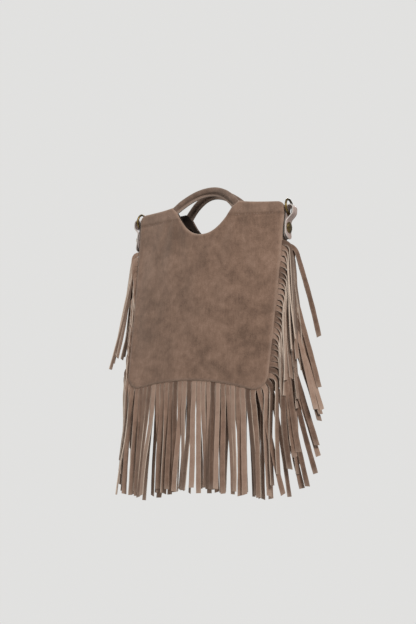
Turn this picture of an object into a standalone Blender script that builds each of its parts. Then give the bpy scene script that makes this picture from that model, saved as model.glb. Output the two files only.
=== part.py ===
"""Fringed suede handbag, hanging from its two grip handles.

Two suede panels are sewn round a tapered U-shaped gusset, with a cut fringe caught in each seam.
The top edge has a shoulder at each side and a hand notch between two horns, and each panel's horns
carry an arched grip handle.  A folded leather tab on each side holds a metal ring.

All lengths below are in millimetres above the middle of the bag's base, X to the side, Y to the
back.  The whole bag hangs from an empty, which puts the origin at the middle of the grip.
"""
import math

import bmesh
import bpy
from mathutils import Vector
from mathutils.geometry import delaunay_2d_cdt

MM = 0.001
GAP = 0.3                      # clearance between touching pieces

# Panels
TOP_HALF_WIDTH = 117.0
BASE_HALF_WIDTH = 110.0
SHOULDER_HEIGHT = 253.0
SUEDE = 1.4                    # panel thickness
BASE_ARCH = 11.0               # the base seam rises this much in the middle
CORNER_REACH = 90.0            # the round base corners start here
CORNER_HEIGHT = 20.0
TOP_CORNER_RADIUS = 10.0
EDGE_DEPTH_TOP = 8.0           # half of the bag's depth along the side seams
EDGE_DEPTH_BASE = 20.0
SWELL_TOP = 17.0               # how far the middle stands in front of the side seams
SWELL_BASE = 5.0
BELLY = 3.0

# Hand notch, horns and handles
HORN_X = 48.5
HORN_Z = 251.5
HORN_HALF_WIDTH = 6.6
NOTCH_Z = 213.0
NOTCH_POWER = 2.2
ARCH_RISE = 26.0
HANDLE_GAP = 7.0               # half of the distance between the two handles at the grip
GRIP_Z = HORN_Z + ARCH_RISE
TAIL = 14.0                    # handle end sewn behind the horn
TAIL_THICKNESS = 3.0
ROLL_RADIUS = 5.0              # padded roll of the handle, across the arch
ROLL_HALF_DEPTH = 4.6
ROLL_OFFSET = 1.6
FLANGE_HALF_DEPTH = 1.4        # flat sewn edge along the inside of the arch

# Top facing and lining
FACING = 1.0
FACING_Z = 234.0
FACING_DROP = 33.0
FACING_SIDE = 7.0
LINING = 0.6
LINING_SIDE = 9.0
LINING_GAP = 0.8
LINING_TOP_GAP = 2.0           # below the facing's edge

# Gusset and fringe
GUSSET = 1.2
GUSSET_TOP_Z = 243.0
FLANGE = 6.0
HEADER = 5.5
STRAP_THICKNESS = 1.2          # fringe leather
FRINGE_TOP_Z = 200.0
STRAND_PITCH = 7.3
STRAND_WIDTH = 6.7
STRAND_LENGTH = 155.0
BEND_LENGTH = 24.0             # a side strand turns from level to hanging over this length
TWIST_LENGTH = 16.0
SIDE_LEAN = math.radians(12.5)

# Ring tabs
TAB = 1.7
TAB_X = TOP_HALF_WIDTH + GAP   # inner face of the tab's inner layer
TAB_TIP_Z = 202.0
TAB_NECK_HALF_WIDTH = 6.4
TAB_TONGUE_HALF_WIDTH = 8.4
TONGUE_Z = 223.0               # below this the tab has its full width
NECK_Z = 231.0
RING_RADIUS = 10.2
WIRE_RADIUS = 1.5
RING_AXIS_X = TAB_X + TAB + 0.6 + WIRE_RADIUS
RING_AXIS_Z = 236.4
RING_LEAN = math.radians(6.0)  # the ring stands up and leans a little onto the bag
LOOP_REACH = 6.4               # free space between the ring's pivot and the outer layer
FOLD_Z = 243.0
PINCH_Z = 225.2
RIVET_Z = 218.0
POST_RADIUS = 1.4
CAP_RADIUS = 7.5
BACK_CAP_RADIUS = 3.4

SUEDE_COLOUR = (0.165, 0.103, 0.073)
FRINGE_COLOUR = (0.160, 0.102, 0.074)
TAB_COLOUR = (0.315, 0.238, 0.208)
HANDLE_COLOUR = (0.115, 0.072, 0.051)
LINING_COLOUR = (0.020, 0.013, 0.010)
BRASS_COLOUR = (0.200, 0.140, 0.055)


# ---------------------------------------------------------------- shape of the bag

def half_width(z):
    """Distance of the side seam from the middle."""
    return BASE_HALF_WIDTH + (TOP_HALF_WIDTH - BASE_HALF_WIDTH) * z / SHOULDER_HEIGHT


def panel_depth(x, z):
    """Distance of a panel's outer face from the bag's middle plane."""
    level = min(max(z / SHOULDER_HEIGHT, 0.0), 1.0)
    across = min(abs(x) / half_width(z), 1.0)
    edge = EDGE_DEPTH_TOP + (EDGE_DEPTH_BASE - EDGE_DEPTH_TOP) * (1.0 - level) ** 1.7
    swell = SWELL_BASE + (SWELL_TOP - SWELL_BASE) * level ** 0.8
    swell += BELLY * math.sin(math.pi * level)
    return edge + swell * (1.0 - across ** 2)


def base_z(x):
    """Height of the base seam between the round corners."""
    return BASE_ARCH * (1.0 - (x / CORNER_REACH) ** 2)


def limb_direction():
    """Unit vector (x, z) in which the right horn points, up and towards the middle."""
    slope = 2.0 * ARCH_RISE / HORN_X
    length = math.hypot(1.0, slope)
    return -1.0 / length, slope / length


def seam_half():
    """The right half of the seam, from the middle of the base to the top of the side."""
    points = [(x, base_z(x)) for x in (CORNER_REACH * k / 8 for k in range(8))]
    reach = half_width(CORNER_HEIGHT) - CORNER_REACH
    for k in range(7):
        angle = math.pi / 2 * k / 6
        points.append((CORNER_REACH + reach * math.sin(angle), CORNER_HEIGHT * (1 - math.cos(angle))))
    top = SHOULDER_HEIGHT - TOP_CORNER_RADIUS
    for k in range(1, 13):
        z = CORNER_HEIGHT + (top - CORNER_HEIGHT) * k / 12
        points.append((half_width(z), z))
    return points


def top_half(inset=0.0):
    """The top edge from the side to the middle of the notch, moved down by inset."""
    points = []
    corner_x = half_width(SHOULDER_HEIGHT) - TOP_CORNER_RADIUS
    for k in range(1, 5):
        angle = math.pi / 2 * k / 4
        points.append((corner_x + TOP_CORNER_RADIUS * math.cos(angle),
                       SHOULDER_HEIGHT + TOP_CORNER_RADIUS * (math.sin(angle) - 1.0)))
    run, rise = limb_direction()
    outer = (HORN_X + HORN_HALF_WIDTH * rise, HORN_Z - HORN_HALF_WIDTH * run)
    inner = (HORN_X - HORN_HALF_WIDTH * rise, HORN_Z + HORN_HALF_WIDTH * run)
    span = corner_x - outer[0]
    for k in range(1, 7):
        t = k / 6
        points.append((corner_x - span * t, SHOULDER_HEIGHT + (outer[1] - SHOULDER_HEIGHT) * t ** 3))
    points.append(inner)
    for k in range(1, 13):
        t = math.cos(math.pi / 2 * k / 12)
        points.append((inner[0] * t, NOTCH_Z + (inner[1] - NOTCH_Z) * t ** NOTCH_POWER))
    return [(x, z - inset) for x, z in points]


def mirrored(half):
    """Close an outline: the right half, then the left half back to the start."""
    left = [(-x, z) for x, z in reversed(half) if x > 1e-6]
    return half + left


# ---------------------------------------------------------------- mesh helpers

def make_material(name, colour, roughness, metallic=0.0):
    material = bpy.data.materials.new(name)
    material.use_nodes = True
    shader = material.node_tree.nodes["Principled BSDF"]
    shader.inputs["Base Color"].default_value = (*colour, 1.0)
    shader.inputs["Roughness"].default_value = roughness
    shader.inputs["Metallic"].default_value = metallic
    return material


def add_object(name, points, faces, material, parent, pivot=(0.0, 0.0, 0.0), smooth_angle=35.0):
    """Make an object from millimetre points.  Its origin is at pivot."""
    mesh = bpy.data.meshes.new(name)
    origin = Vector(pivot)
    mesh.from_pydata([(Vector(p) - origin) * MM for p in points], [], faces)
    shell = bmesh.new()
    shell.from_mesh(mesh)
    bmesh.ops.recalc_face_normals(shell, faces=shell.faces)
    shell.to_mesh(mesh)
    shell.free()
    if material:
        mesh.materials.append(material)
    mesh.shade_smooth()
    mesh.set_sharp_from_angle(angle=math.radians(smooth_angle))
    piece = bpy.data.objects.new(name, mesh)
    piece.location = origin * MM
    piece.parent = parent
    bpy.context.scene.collection.objects.link(piece)
    return piece


def sweep(sections, closed=False):
    """Join equal loops of points into a tube, capped at both ends unless it is closed."""
    count = len(sections[0])
    points = [p for section in sections for p in section]
    faces = []
    for i in range(len(sections) if closed else len(sections) - 1):
        here, there = i * count, (i + 1) % len(sections) * count
        for k in range(count):
            after = (k + 1) % count
            faces.append((here + k, here + after, there + after, there + k))
    if not closed:
        faces.append(tuple(range(count)))
        faces.append(tuple(range(len(points) - count, len(points))))
    return points, faces


def turned(profile, centre, direction, sides=20):
    """Turn (radius, height) points about an axis.  The first and last lie on the axis."""
    axis = Vector(direction).normalized()
    across = axis.orthogonal().normalized()
    other = axis.cross(across)
    points = [Vector(centre) + axis * profile[0][1]]
    for radius, height in profile[1:-1]:
        for k in range(sides):
            angle = 2 * math.pi * k / sides
            points.append(Vector(centre) + axis * height
                          + (across * math.cos(angle) + other * math.sin(angle)) * radius)
    points.append(Vector(centre) + axis * profile[-1][1])
    rows = len(profile) - 2
    last = len(points) - 1
    faces = []
    for k in range(sides):
        after = (k + 1) % sides
        faces.append((0, 1 + after, 1 + k))
        for row in range(rows - 1):
            here, there = 1 + row * sides, 1 + (row + 1) * sides
            faces.append((here + k, here + after, there + after, there + k))
        faces.append((last, 1 + (rows - 1) * sides + k, 1 + (rows - 1) * sides + after))
    return points, faces


def clear_of_outline(x, z, outline, margin):
    return all(math.hypot(x - px, z - pz) > margin for px, pz in outline)


def plate(outline, outer, thickness, side, spacing):
    """A curved sheet over an (x, z) outline.  outer gives the depth of its outer face."""
    low_x, high_x = min(p[0] for p in outline), max(p[0] for p in outline)
    low_z, high_z = min(p[1] for p in outline), max(p[1] for p in outline)
    flat = [Vector(p) for p in outline]
    for row in range(1, int((high_z - low_z) / spacing) + 1):
        for column in range(int((high_x - low_x) / spacing) + 1):
            x = low_x + (column + 0.5) * spacing
            z = low_z + row * spacing
            if inside(x, z, outline) and clear_of_outline(x, z, outline, spacing * 0.5):
                flat.append(Vector((x, z)))
    edges = [(k, (k + 1) % len(outline)) for k in range(len(outline))]
    flat, _, triangles = delaunay_2d_cdt(flat, edges, [], 0, 1e-4, False)[:3]
    count = len(flat)
    points = [(p.x, side * outer(p.x, p.y), p.y) for p in flat]
    points += [(p.x, side * (outer(p.x, p.y) - thickness), p.y) for p in flat]
    faces = []
    for face in triangles:
        middle = sum((flat[k] for k in face), Vector((0.0, 0.0))) / 3
        if inside(middle.x, middle.y, outline):
            faces.append(tuple(face))
    directed = {edge for face in faces for edge in zip(face, face[1:] + face[:1])}
    rim = sorted((a, b) for a, b in directed if (b, a) not in directed)
    faces += [tuple(k + count for k in reversed(face)) for face in faces]
    faces += [(b, a, a + count, b + count) for a, b in rim]
    return points, faces


def inside(x, z, outline):
    hit = False
    for k, (ax, az) in enumerate(outline):
        bx, bz = outline[k - 1]
        if (az > z) != (bz > z) and x < (bx - ax) * (z - az) / (bz - az) + ax:
            hit = not hit
    return hit


def cut(piece, cutters):
    """Subtract the cutters from a piece."""
    for cutter in cutters:
        boolean = piece.modifiers.new("hole", "BOOLEAN")
        boolean.operation = "DIFFERENCE"
        boolean.object = cutter


# ---------------------------------------------------------------- seam path

class SeamPath:
    """The seam from the top of the right side, round the base, to the top of the left side."""

    def __init__(self, top_z):
        half = [p for p in seam_half() if p[1] < top_z - 1.0 or p[0] < CORNER_REACH]
        half.append((half_width(top_z), top_z))
        self.points = [Vector(p) for p in reversed(half)]
        self.points += [Vector((-p[0], p[1])) for p in half if p[0] > 1e-6]
        self.stations = [0.0]
        for a, b in zip(self.points, self.points[1:]):
            self.stations.append(self.stations[-1] + (b - a).length)
        self.length = self.stations[-1]

    def at(self, distance):
        """Point and outward normal at a distance along the seam."""
        distance = min(max(distance, 0.0), self.length)
        k = 0
        while k < len(self.stations) - 2 and self.stations[k + 1] < distance:
            k += 1
        run = self.points[k + 1] - self.points[k]
        t = (distance - self.stations[k]) / run.length
        point = self.points[k] + run * t
        first, last = self.normal(k), self.normal(k + 1)
        return point, (first * (1 - t) + last * t).normalized()

    def normal(self, k):
        a = self.points[max(k - 1, 0)]
        b = self.points[min(k + 1, len(self.points) - 1)]
        run = (b - a).normalized()
        return Vector((-run.y, run.x))


def in_space(flat, normal, offset, y):
    """A 3-D point offset mm outside a flat (x, z) seam point."""
    moved = flat + normal * offset
    return moved.x, y, moved.y


# ---------------------------------------------------------------- sewn body

def add_panel(name, side, material, parent):
    outline = mirrored(seam_half() + top_half())
    points, faces = plate(outline, panel_depth, SUEDE, side, 22.0)
    return add_object(name, points, faces, material, parent)


def facing_bottom_z(x):
    """Lower edge of the top facing: level under the shoulders, dipping under the notch."""
    across = min(abs(x) / 44.0, 1.0)
    return FACING_Z - FACING_DROP * (1.0 - across ** 2)


def facing_depth(x, z):
    """Outer face of the facing: against the panel, and behind the handle's sewn end."""
    run, rise = limb_direction()
    middle = Vector((HORN_X - run * TAIL / 2, HORN_Z - rise * TAIL / 2))
    away = (Vector((abs(x), z)) - middle).length
    t = min(max((34.0 - away) / 12.0, 0.0), 1.0)
    lift = (TAIL_THICKNESS + GAP + 0.3) * t * t * (3.0 - 2.0 * t)
    return panel_depth(x, z) - SUEDE - GAP - lift


def add_facing(name, side, material, parent):
    side_x = half_width(FACING_Z) - FACING_SIDE
    half = [(x, facing_bottom_z(x)) for x in (0.0, 11.0, 22.0, 33.0, 44.0, 60.0, 78.0, 95.0)]
    half.append((side_x, FACING_Z))
    half += [p for p in top_half(inset=0.7) if p[0] < side_x - 1.0]
    points, faces = plate(mirrored(half), facing_depth, FACING, side, 7.5)
    return add_object(name, points, faces, material, parent)


def add_gusset(material, parent):
    path = SeamPath(GUSSET_TOP_Z)
    sections = []
    count = 64
    for k in range(count + 1):
        flat, normal = path.at(path.length * k / count)
        front = panel_depth(flat.x, flat.y) - SUEDE - STRAP_THICKNESS - 2 * GAP
        web = -0.6
        profile = [(-FLANGE, -front), (web, -front), (web, front), (-FLANGE, front),
                   (-FLANGE, front - GUSSET), (web - GUSSET, front - GUSSET),
                   (web - GUSSET, GUSSET - front), (-FLANGE, GUSSET - front)]
        sections.append([in_space(flat, normal, offset, y) for offset, y in profile])
    points, faces = sweep(sections)
    return add_object("gusset", points, faces, material, parent)


def add_lining(material, parent):
    """A thin cloth pouch, open at the top."""
    columns, rows = 14, 6

    def shell(inner):
        front, back = [], []
        for i in range(columns + 1):
            u = 2.0 * i / columns - 1.0
            for j in range(rows + 1):
                low = base_z(u * CORNER_REACH) + LINING_SIDE + 9.0 * abs(u) ** 6 + inner
                high = facing_bottom_z(u * (half_width(FACING_Z) - LINING_SIDE)) - LINING_TOP_GAP
                z = low + (high - low) * j / rows
                x = u * (half_width(z) - LINING_SIDE - inner)
                y = panel_depth(x, z) - SUEDE - LINING_GAP - inner
                front.append((x, -y, z))
                back.append((x, y, z))
        return front + back

    outside, within = shell(0.0), shell(LINING)
    points = outside + within
    sheet = (columns + 1) * (rows + 1)

    def index(i, j, back=False, inner=False):
        return i * (rows + 1) + j + sheet * back + 2 * sheet * inner

    faces = []
    for inner in (False, True):
        for i in range(columns):
            for j in range(rows):
                for back in (False, True):
                    faces.append((index(i, j, back, inner), index(i + 1, j, back, inner),
                                  index(i + 1, j + 1, back, inner), index(i, j + 1, back, inner)))
            faces.append((index(i, 0, False, inner), index(i + 1, 0, False, inner),
                          index(i + 1, 0, True, inner), index(i, 0, True, inner)))
        for i in (0, columns):
            for j in range(rows):
                faces.append((index(i, j, False, inner), index(i, j + 1, False, inner),
                              index(i, j + 1, True, inner), index(i, j, True, inner)))
    for i in range(columns):
        for back in (False, True):
            faces.append((index(i, rows, back), index(i + 1, rows, back),
                          index(i + 1, rows, back, True), index(i, rows, back, True)))
    for i in (0, columns):
        faces.append((index(i, rows, False), index(i, rows, True),
                      index(i, rows, True, True), index(i, rows, False, True)))
    return add_object("lining", points, faces, material, parent)


# ---------------------------------------------------------------- fringe

def strand_sections(root, normal, y):
    """Cross-sections of one strand after its root: it turns down, and its face turns outward."""
    hand = math.copysign(1.0, root.x)
    sideways = max(hand * normal.x, 0.0)
    start = math.acos(min(sideways, 1.0)) if sideways > 0.02 else math.pi / 2
    finish = max(math.pi / 2 - SIDE_LEAN * sideways, start)
    twist = math.pi / 2 * sideways ** 0.7
    bend_length = BEND_LENGTH * min(finish - start, 1.0)

    def fall(distance):
        """Angle below level at a distance along the strand."""
        t = min(distance / bend_length, 1.0) if bend_length > 0.0 else 1.0
        return start + (finish - start) * (0.5 - 0.5 * math.cos(math.pi * t))

    here = Vector((root.x, y, root.y))
    travelled = 0.0
    sections = []
    for station in ([4.0, 9.0, TWIST_LENGTH, BEND_LENGTH] if sideways > 0.15 else []) + [STRAND_LENGTH]:
        steps = int(station - travelled)
        step = (station - travelled) / steps
        for k in range(steps):
            angle = fall(travelled + (k + 0.5) * step)
            here = here + Vector((hand * math.cos(angle), 0.0, -math.sin(angle))) * step
        travelled = station
        angle = fall(station)
        turn = twist * min(station / TWIST_LENGTH, 1.0)
        along = Vector((hand * math.cos(angle), 0.0, -math.sin(angle)))
        up = Vector((hand * math.sin(angle), 0.0, math.cos(angle)))
        across = up * math.cos(turn) + Vector((0.0, hand, 0.0)) * math.sin(turn)
        half_w = across * STRAND_WIDTH / 2
        half_t = along.cross(across) * STRAP_THICKNESS / 2
        sections.append([here - half_w - half_t, here + half_w - half_t,
                         here + half_w + half_t, here - half_w + half_t])
    return sections


def add_fringe(name, side, material, parent):
    """One comb: a header strip in the seam, and the strands cut from it."""
    path = SeamPath(FRINGE_TOP_Z)
    count = int(path.length / STRAND_PITCH)
    pitch = path.length / count
    points, faces = [], []

    def seam_corner(distance, offset):
        flat, normal = path.at(distance)
        depth = panel_depth(flat.x, flat.y) - SUEDE - GAP
        return [in_space(flat, normal, offset, side * d) for d in (depth, depth - STRAP_THICKNESS)]

    for i in range(count):
        for half in (-0.5, 0.5):
            distance = (i + 0.5) * pitch + half * STRAND_WIDTH
            points += seam_corner(distance, -HEADER) + seam_corner(distance, 0.8)
    ends = 2 * count
    for k in range(ends - 1):
        a, b = 4 * k, 4 * (k + 1)
        faces += [(a, b, b + 2, a + 2), (a + 1, a + 3, b + 3, b + 1), (a, a + 1, b + 1, b)]
        if k % 2:
            faces.append((a + 2, b + 2, b + 3, a + 3))
    last = 4 * (ends - 1)
    faces += [(0, 2, 3, 1), (last, last + 1, last + 3, last + 2)]
    for i in range(count):
        flat, normal = path.at((i + 0.5) * pitch)
        y = side * (panel_depth(flat.x, flat.y) - SUEDE - GAP - STRAP_THICKNESS / 2)
        root = flat + normal * 0.8
        a, b = 8 * i, 8 * i + 4
        ring = [a + 2, b + 2, b + 3, a + 3]
        for section in strand_sections(root, normal, y):
            section = nearest_order(section, [points[k] for k in ring])
            base = len(points)
            points += section
            grown = [base + k for k in range(4)]
            faces += [(ring[k], ring[(k + 1) % 4], grown[(k + 1) % 4], grown[k]) for k in range(4)]
            ring = grown
        faces.append(tuple(ring))
    return add_object(name, points, faces, material, parent)


def nearest_order(section, previous):
    """Reorder a four-cornered section so that it twists least from the one before."""
    centre = sum((Vector(p) for p in section), Vector()) / 4
    before = sum((Vector(p) for p in previous), Vector()) / 4
    arms = [Vector(p) - before for p in previous]
    best = None
    for flip in (1, -1):
        for shift in range(4):
            order = [section[(shift + flip * k) % 4] for k in range(4)]
            match = sum((Vector(p) - centre).dot(arm) for p, arm in zip(order, arms))
            if best is None or match > best[0]:
                best = (match, order)
    return best[1]


# ---------------------------------------------------------------- handles

def handle_path(t, side):
    """Centre of the handle.  t runs from -1 at the left horn to 1 at the right one."""
    x = HORN_X * t
    z = HORN_Z + ARCH_RISE * (1.0 - t * t)
    horn_y = panel_depth(HORN_X, HORN_Z) - SUEDE - GAP - TAIL_THICKNESS / 2
    y = HANDLE_GAP + (horn_y - HANDLE_GAP) * abs(t) ** 1.6
    return Vector((x, side * y, z))


def handle_profile(thin):
    """(outward, depth) points of the rolled handle.  thin runs from 0 to 1 at its flat end."""
    points = [(-HORN_HALF_WIDTH, -FLANGE_HALF_DEPTH), (-2.4, -FLANGE_HALF_DEPTH)]
    for k in range(8):
        angle = math.radians(-135 + 270 * k / 7)
        points.append((ROLL_OFFSET + ROLL_RADIUS * math.cos(angle), ROLL_HALF_DEPTH * math.sin(angle)))
    points += [(-2.4, FLANGE_HALF_DEPTH), (-HORN_HALF_WIDTH, FLANGE_HALF_DEPTH)]
    flat = TAIL_THICKNESS / 2
    return [(r, d + (math.copysign(flat, d) - d) * thin) for r, d in points]


def add_handle(name, side, material, parent):
    stations = []
    run, rise = limb_direction()
    count = 22
    for k in range(count + 1):
        t = 2.0 * k / count - 1.0
        middle = handle_path(t, side)
        out = Vector((2.0 * ARCH_RISE * t / HORN_X, 0.0, 1.0)).normalized()
        thin = min(max((abs(t) - 0.84) / 0.16, 0.0), 1.0)
        stations.append((middle, out, thin))
    for hand in (-1, 1):
        out = Vector((hand * rise, 0.0, -run))
        tail = []
        for reach in (TAIL / 2, TAIL):
            x, z = HORN_X - run * reach, HORN_Z - rise * reach
            y = panel_depth(x, z) - SUEDE - GAP - TAIL_THICKNESS / 2
            tail.append((Vector((hand * x, side * y, z)), out, 1.0))
        stations = stations + tail if hand > 0 else tail[::-1] + stations
    sections = []
    for middle, out, thin in stations:
        section = []
        for r, d in handle_profile(thin):
            point = middle + out * r
            slope = panel_depth(point.x, point.z) - panel_depth(middle.x, middle.z)
            section.append(point + Vector((0.0, d + side * slope * thin, 0.0)))
        sections.append(section)
    points, faces = sweep(sections)
    return add_object(name, points, faces, material, parent, smooth_angle=50.0)


# ---------------------------------------------------------------- ring tabs

def tab_path():
    """(x, z) along the middle of the folded tab, inner tip to outer tip."""
    inner_x = TAB_X + TAB / 2
    loop_x = RING_AXIS_X + LOOP_REACH + TAB / 2
    outer_x = TAB_X + 1.5 * TAB + GAP
    points = [(inner_x, z) for z in tip_heights()]
    points += [(inner_x, TONGUE_Z), (inner_x, NECK_Z), (inner_x, FOLD_Z)]
    radius = (loop_x - inner_x) / 2
    for k in range(1, 8):
        angle = math.pi * (1 - k / 8)
        points.append((inner_x + radius + radius * math.cos(angle), FOLD_Z + radius * math.sin(angle)))
    points += [(loop_x, FOLD_Z), (loop_x, RING_AXIS_Z + 2.0)]
    top = RING_AXIS_Z + 2.0
    for k in range(1, 7):
        t = k / 6
        ease = 0.5 - 0.5 * math.cos(math.pi * t)
        points.append((loop_x + (outer_x - loop_x) * ease, top + (PINCH_Z - top) * t))
    points += [(outer_x, z) for z in reversed(tip_heights())]
    return points


def tip_heights():
    """Stations along the round tip of the tongue, closer together at its end."""
    radius = TAB_TONGUE_HALF_WIDTH
    return [TAB_TIP_Z + radius * (1 - math.cos(math.pi / 2 * (k + 0.5) / 5.5)) for k in range(6)]


def tab_half_width(z):
    if z < TAB_TIP_Z + TAB_TONGUE_HALF_WIDTH:
        rest = TAB_TIP_Z + TAB_TONGUE_HALF_WIDTH - z
        return math.sqrt(max(TAB_TONGUE_HALF_WIDTH ** 2 - rest ** 2, 1.0))
    t = min(max((z - TONGUE_Z) / (NECK_Z - TONGUE_Z), 0.0), 1.0)
    return TAB_TONGUE_HALF_WIDTH + (TAB_NECK_HALF_WIDTH - TAB_TONGUE_HALF_WIDTH) * t


def add_tab(name, hand, material, parent, cutter):
    path = [Vector(p) for p in tab_path()]
    sections = []
    for k, here in enumerate(path):
        run = (path[min(k + 1, len(path) - 1)] - path[max(k - 1, 0)]).normalized()
        side = Vector((-run.y, run.x)) * TAB / 2
        width = tab_half_width(here.y)
        sections.append([(hand * (here.x + s * side.x), w * width, here.y + s * side.y)
                         for s, w in ((1, 1), (1, -1), (-1, -1), (-1, 1))])
    points, faces = sweep(sections)
    tab = add_object(name, points, faces, material, parent)
    cut(tab, [cutter])
    return tab


def add_ring(name, hand, material, parent):
    pivot = (hand * RING_AXIS_X, 0.0, RING_AXIS_Z)
    sides, around = 26, 8
    sections = []
    up = Vector((-hand * math.sin(RING_LEAN), 0.0, math.cos(RING_LEAN)))
    across = Vector((0.0, 1.0, 0.0))
    normal = up.cross(across)
    middle = Vector(pivot) + up * RING_RADIUS
    for i in range(sides):
        angle = 2 * math.pi * i / sides
        out = up * math.cos(angle) + across * math.sin(angle)
        section = []
        for k in range(around):
            turn = 2 * math.pi * k / around
            section.append(middle + out * (RING_RADIUS + WIRE_RADIUS * math.cos(turn))
                           + normal * WIRE_RADIUS * math.sin(turn))
        sections.append(section)
    points, faces = sweep(sections, closed=True)
    return add_object(name, points, faces, material, parent, pivot=pivot, smooth_angle=60.0)


def add_rivet(side_name, hand, material, parent):
    """A double-cap rivet: the back has the post, which stands in the front cap's blind hole."""
    web_x = half_width(RIVET_Z) - 0.6
    back_x = web_x - GUSSET - GAP
    cap_x = TAB_X + 2 * TAB + 2 * GAP
    outward = (hand, 0.0, 0.0)
    height = cap_x - back_x
    profile = [(0.0, -1.1), (BACK_CAP_RADIUS * 0.7, -0.9), (BACK_CAP_RADIUS, -0.3),
               (BACK_CAP_RADIUS, 0.0), (POST_RADIUS, 0.0), (POST_RADIUS, height + 1.0),
               (0.0, height + 1.0)]
    points, faces = turned(profile, (hand * back_x, 0.0, RIVET_Z), outward, 16)
    add_object("rivet_back_" + side_name, points, faces, material, parent)
    hole = POST_RADIUS + GAP
    profile = [(0.0, 1.4), (hole, 1.4), (hole, 0.0), (CAP_RADIUS - 0.6, 0.0), (CAP_RADIUS, 0.5),
               (CAP_RADIUS, 0.9)]
    for k in range(1, 5):
        angle = math.pi / 2 * k / 5
        profile.append((CAP_RADIUS * math.cos(angle), 0.9 + 1.8 * math.sin(angle)))
    profile.append((0.0, 2.7))
    points, faces = turned(profile, (hand * cap_x, 0.0, RIVET_Z), outward, 24)
    add_object("rivet_cap_" + side_name, points, faces, material, parent)


def add_hole_cutter(side_name, hand, parent):
    """A guide cylinder for the rivet's hole through the tab and the gusset."""
    radius, reach = POST_RADIUS + GAP, 14.0
    profile = [(0.0, -reach), (radius, -reach), (radius, reach), (0.0, reach)]
    points, faces = turned(profile, (hand * TAB_X, 0.0, RIVET_Z), (hand, 0.0, 0.0), 16)
    cutter = add_object("rivet_hole_" + side_name, points, faces, None, parent)
    cutter.hide_render = True
    cutter.display_type = "WIRE"
    return cutter


# ---------------------------------------------------------------- assembly

def main():
    for old in list(bpy.data.objects):
        bpy.data.objects.remove(old, do_unlink=True)

    suede = make_material("suede", SUEDE_COLOUR, 0.95)
    fringe = make_material("fringe_suede", FRINGE_COLOUR, 0.92)
    strap = make_material("handle_suede", HANDLE_COLOUR, 0.85)
    leather = make_material("tab_leather", TAB_COLOUR, 0.7)
    cloth = make_material("lining_cloth", LINING_COLOUR, 0.9)
    brass = make_material("antique_brass", BRASS_COLOUR, 0.35, 1.0)

    bag = bpy.data.objects.new("bag", None)
    bag.location = (0.0, 0.0, -GRIP_Z * MM)
    bpy.context.scene.collection.objects.link(bag)

    for name, side in (("front", -1), ("back", 1)):
        add_panel(name + "_panel", side, suede, bag)
        add_facing(name + "_facing", side, suede, bag)
        add_fringe(name + "_fringe", side, fringe, bag)
        add_handle(name + "_handle", side, strap, bag)
    gusset = add_gusset(suede, bag)
    add_lining(cloth, bag)

    cutters = []
    for name, hand in (("left", -1), ("right", 1)):
        cutter = add_hole_cutter(name, hand, bag)
        cutters.append(cutter)
        add_tab("ring_tab_" + name, hand, leather, bag, cutter)
        add_ring("ring_" + name, hand, brass, bag)
        add_rivet(name, hand, brass, bag)
    cut(gusset, cutters)


main()
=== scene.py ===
import math
import random

import bmesh
import bpy
from mathutils import Matrix, Vector, noise
from mathutils.geometry import delaunay_2d_cdt


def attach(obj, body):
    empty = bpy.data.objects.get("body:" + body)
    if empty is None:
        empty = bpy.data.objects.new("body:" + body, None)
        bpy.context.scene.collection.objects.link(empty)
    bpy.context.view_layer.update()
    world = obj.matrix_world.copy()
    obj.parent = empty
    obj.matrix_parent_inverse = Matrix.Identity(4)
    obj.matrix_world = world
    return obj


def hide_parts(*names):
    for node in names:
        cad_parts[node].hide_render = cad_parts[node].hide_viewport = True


# Fringed suede handbag: the fine, visible pieces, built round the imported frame.
# Shapes are worked out in millimetres above the middle of the bag's base, X to the side, Y to the
# back, and put in the frame, whose origin is the middle of the grip, in metres.

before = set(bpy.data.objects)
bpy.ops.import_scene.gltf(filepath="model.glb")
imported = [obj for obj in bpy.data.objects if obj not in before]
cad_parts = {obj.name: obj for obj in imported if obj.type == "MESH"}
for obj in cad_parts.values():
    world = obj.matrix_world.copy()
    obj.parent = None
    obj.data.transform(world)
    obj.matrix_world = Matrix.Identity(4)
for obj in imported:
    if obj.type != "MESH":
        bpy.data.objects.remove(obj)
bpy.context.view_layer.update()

MM = 0.001
GAP = 0.3

# The bag's driving dimensions, as in the frame
GRIP_Z = 277.5
TOP_HALF_WIDTH = 117.0
BASE_HALF_WIDTH = 110.0
SHOULDER_HEIGHT = 253.0
SUEDE = 1.4
BASE_ARCH = 11.0
CORNER_REACH = 90.0
CORNER_HEIGHT = 20.0
TOP_CORNER_RADIUS = 10.0
EDGE_DEPTH_TOP = 8.0
EDGE_DEPTH_BASE = 20.0
SWELL_TOP = 17.0
SWELL_BASE = 5.0
BELLY = 3.0
HORN_X = 48.5
HORN_Z = 251.5
HORN_HALF_WIDTH = 6.6
NOTCH_Z = 213.0
NOTCH_POWER = 2.2
ARCH_RISE = 26.0
HANDLE_GAP = 7.0
TAIL = 14.0
TAIL_THICKNESS = 3.0
ROLL_RADIUS = 5.0
ROLL_HALF_DEPTH = 4.6
ROLL_OFFSET = 1.6
FLANGE_HALF_DEPTH = 1.4
FACING = 1.0
FACING_Z = 234.0
FACING_DROP = 33.0
FACING_SIDE = 7.0
FACING_DIP_X = 44.0             # the facing's lower edge dips between these
LINING = 0.6
LINING_SIDE = 9.0
LINING_GAP = 0.8
LINING_TOP_GAP = 2.0
GUSSET = 1.2
GUSSET_TOP_Z = 243.0
FLANGE = 6.0
HEADER = 5.5
STRAP_THICKNESS = 1.2
FRINGE_TOP_Z = 200.0
STRAND_PITCH = 7.3
STRAND_WIDTH = 6.7
STRAND_LENGTH = 155.0
TWIST_LENGTH = 16.0
TAB = 1.7
TAB_X = TOP_HALF_WIDTH + GAP
TAB_TIP_Z = 202.0
TAB_NECK_HALF_WIDTH = 6.4
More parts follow.
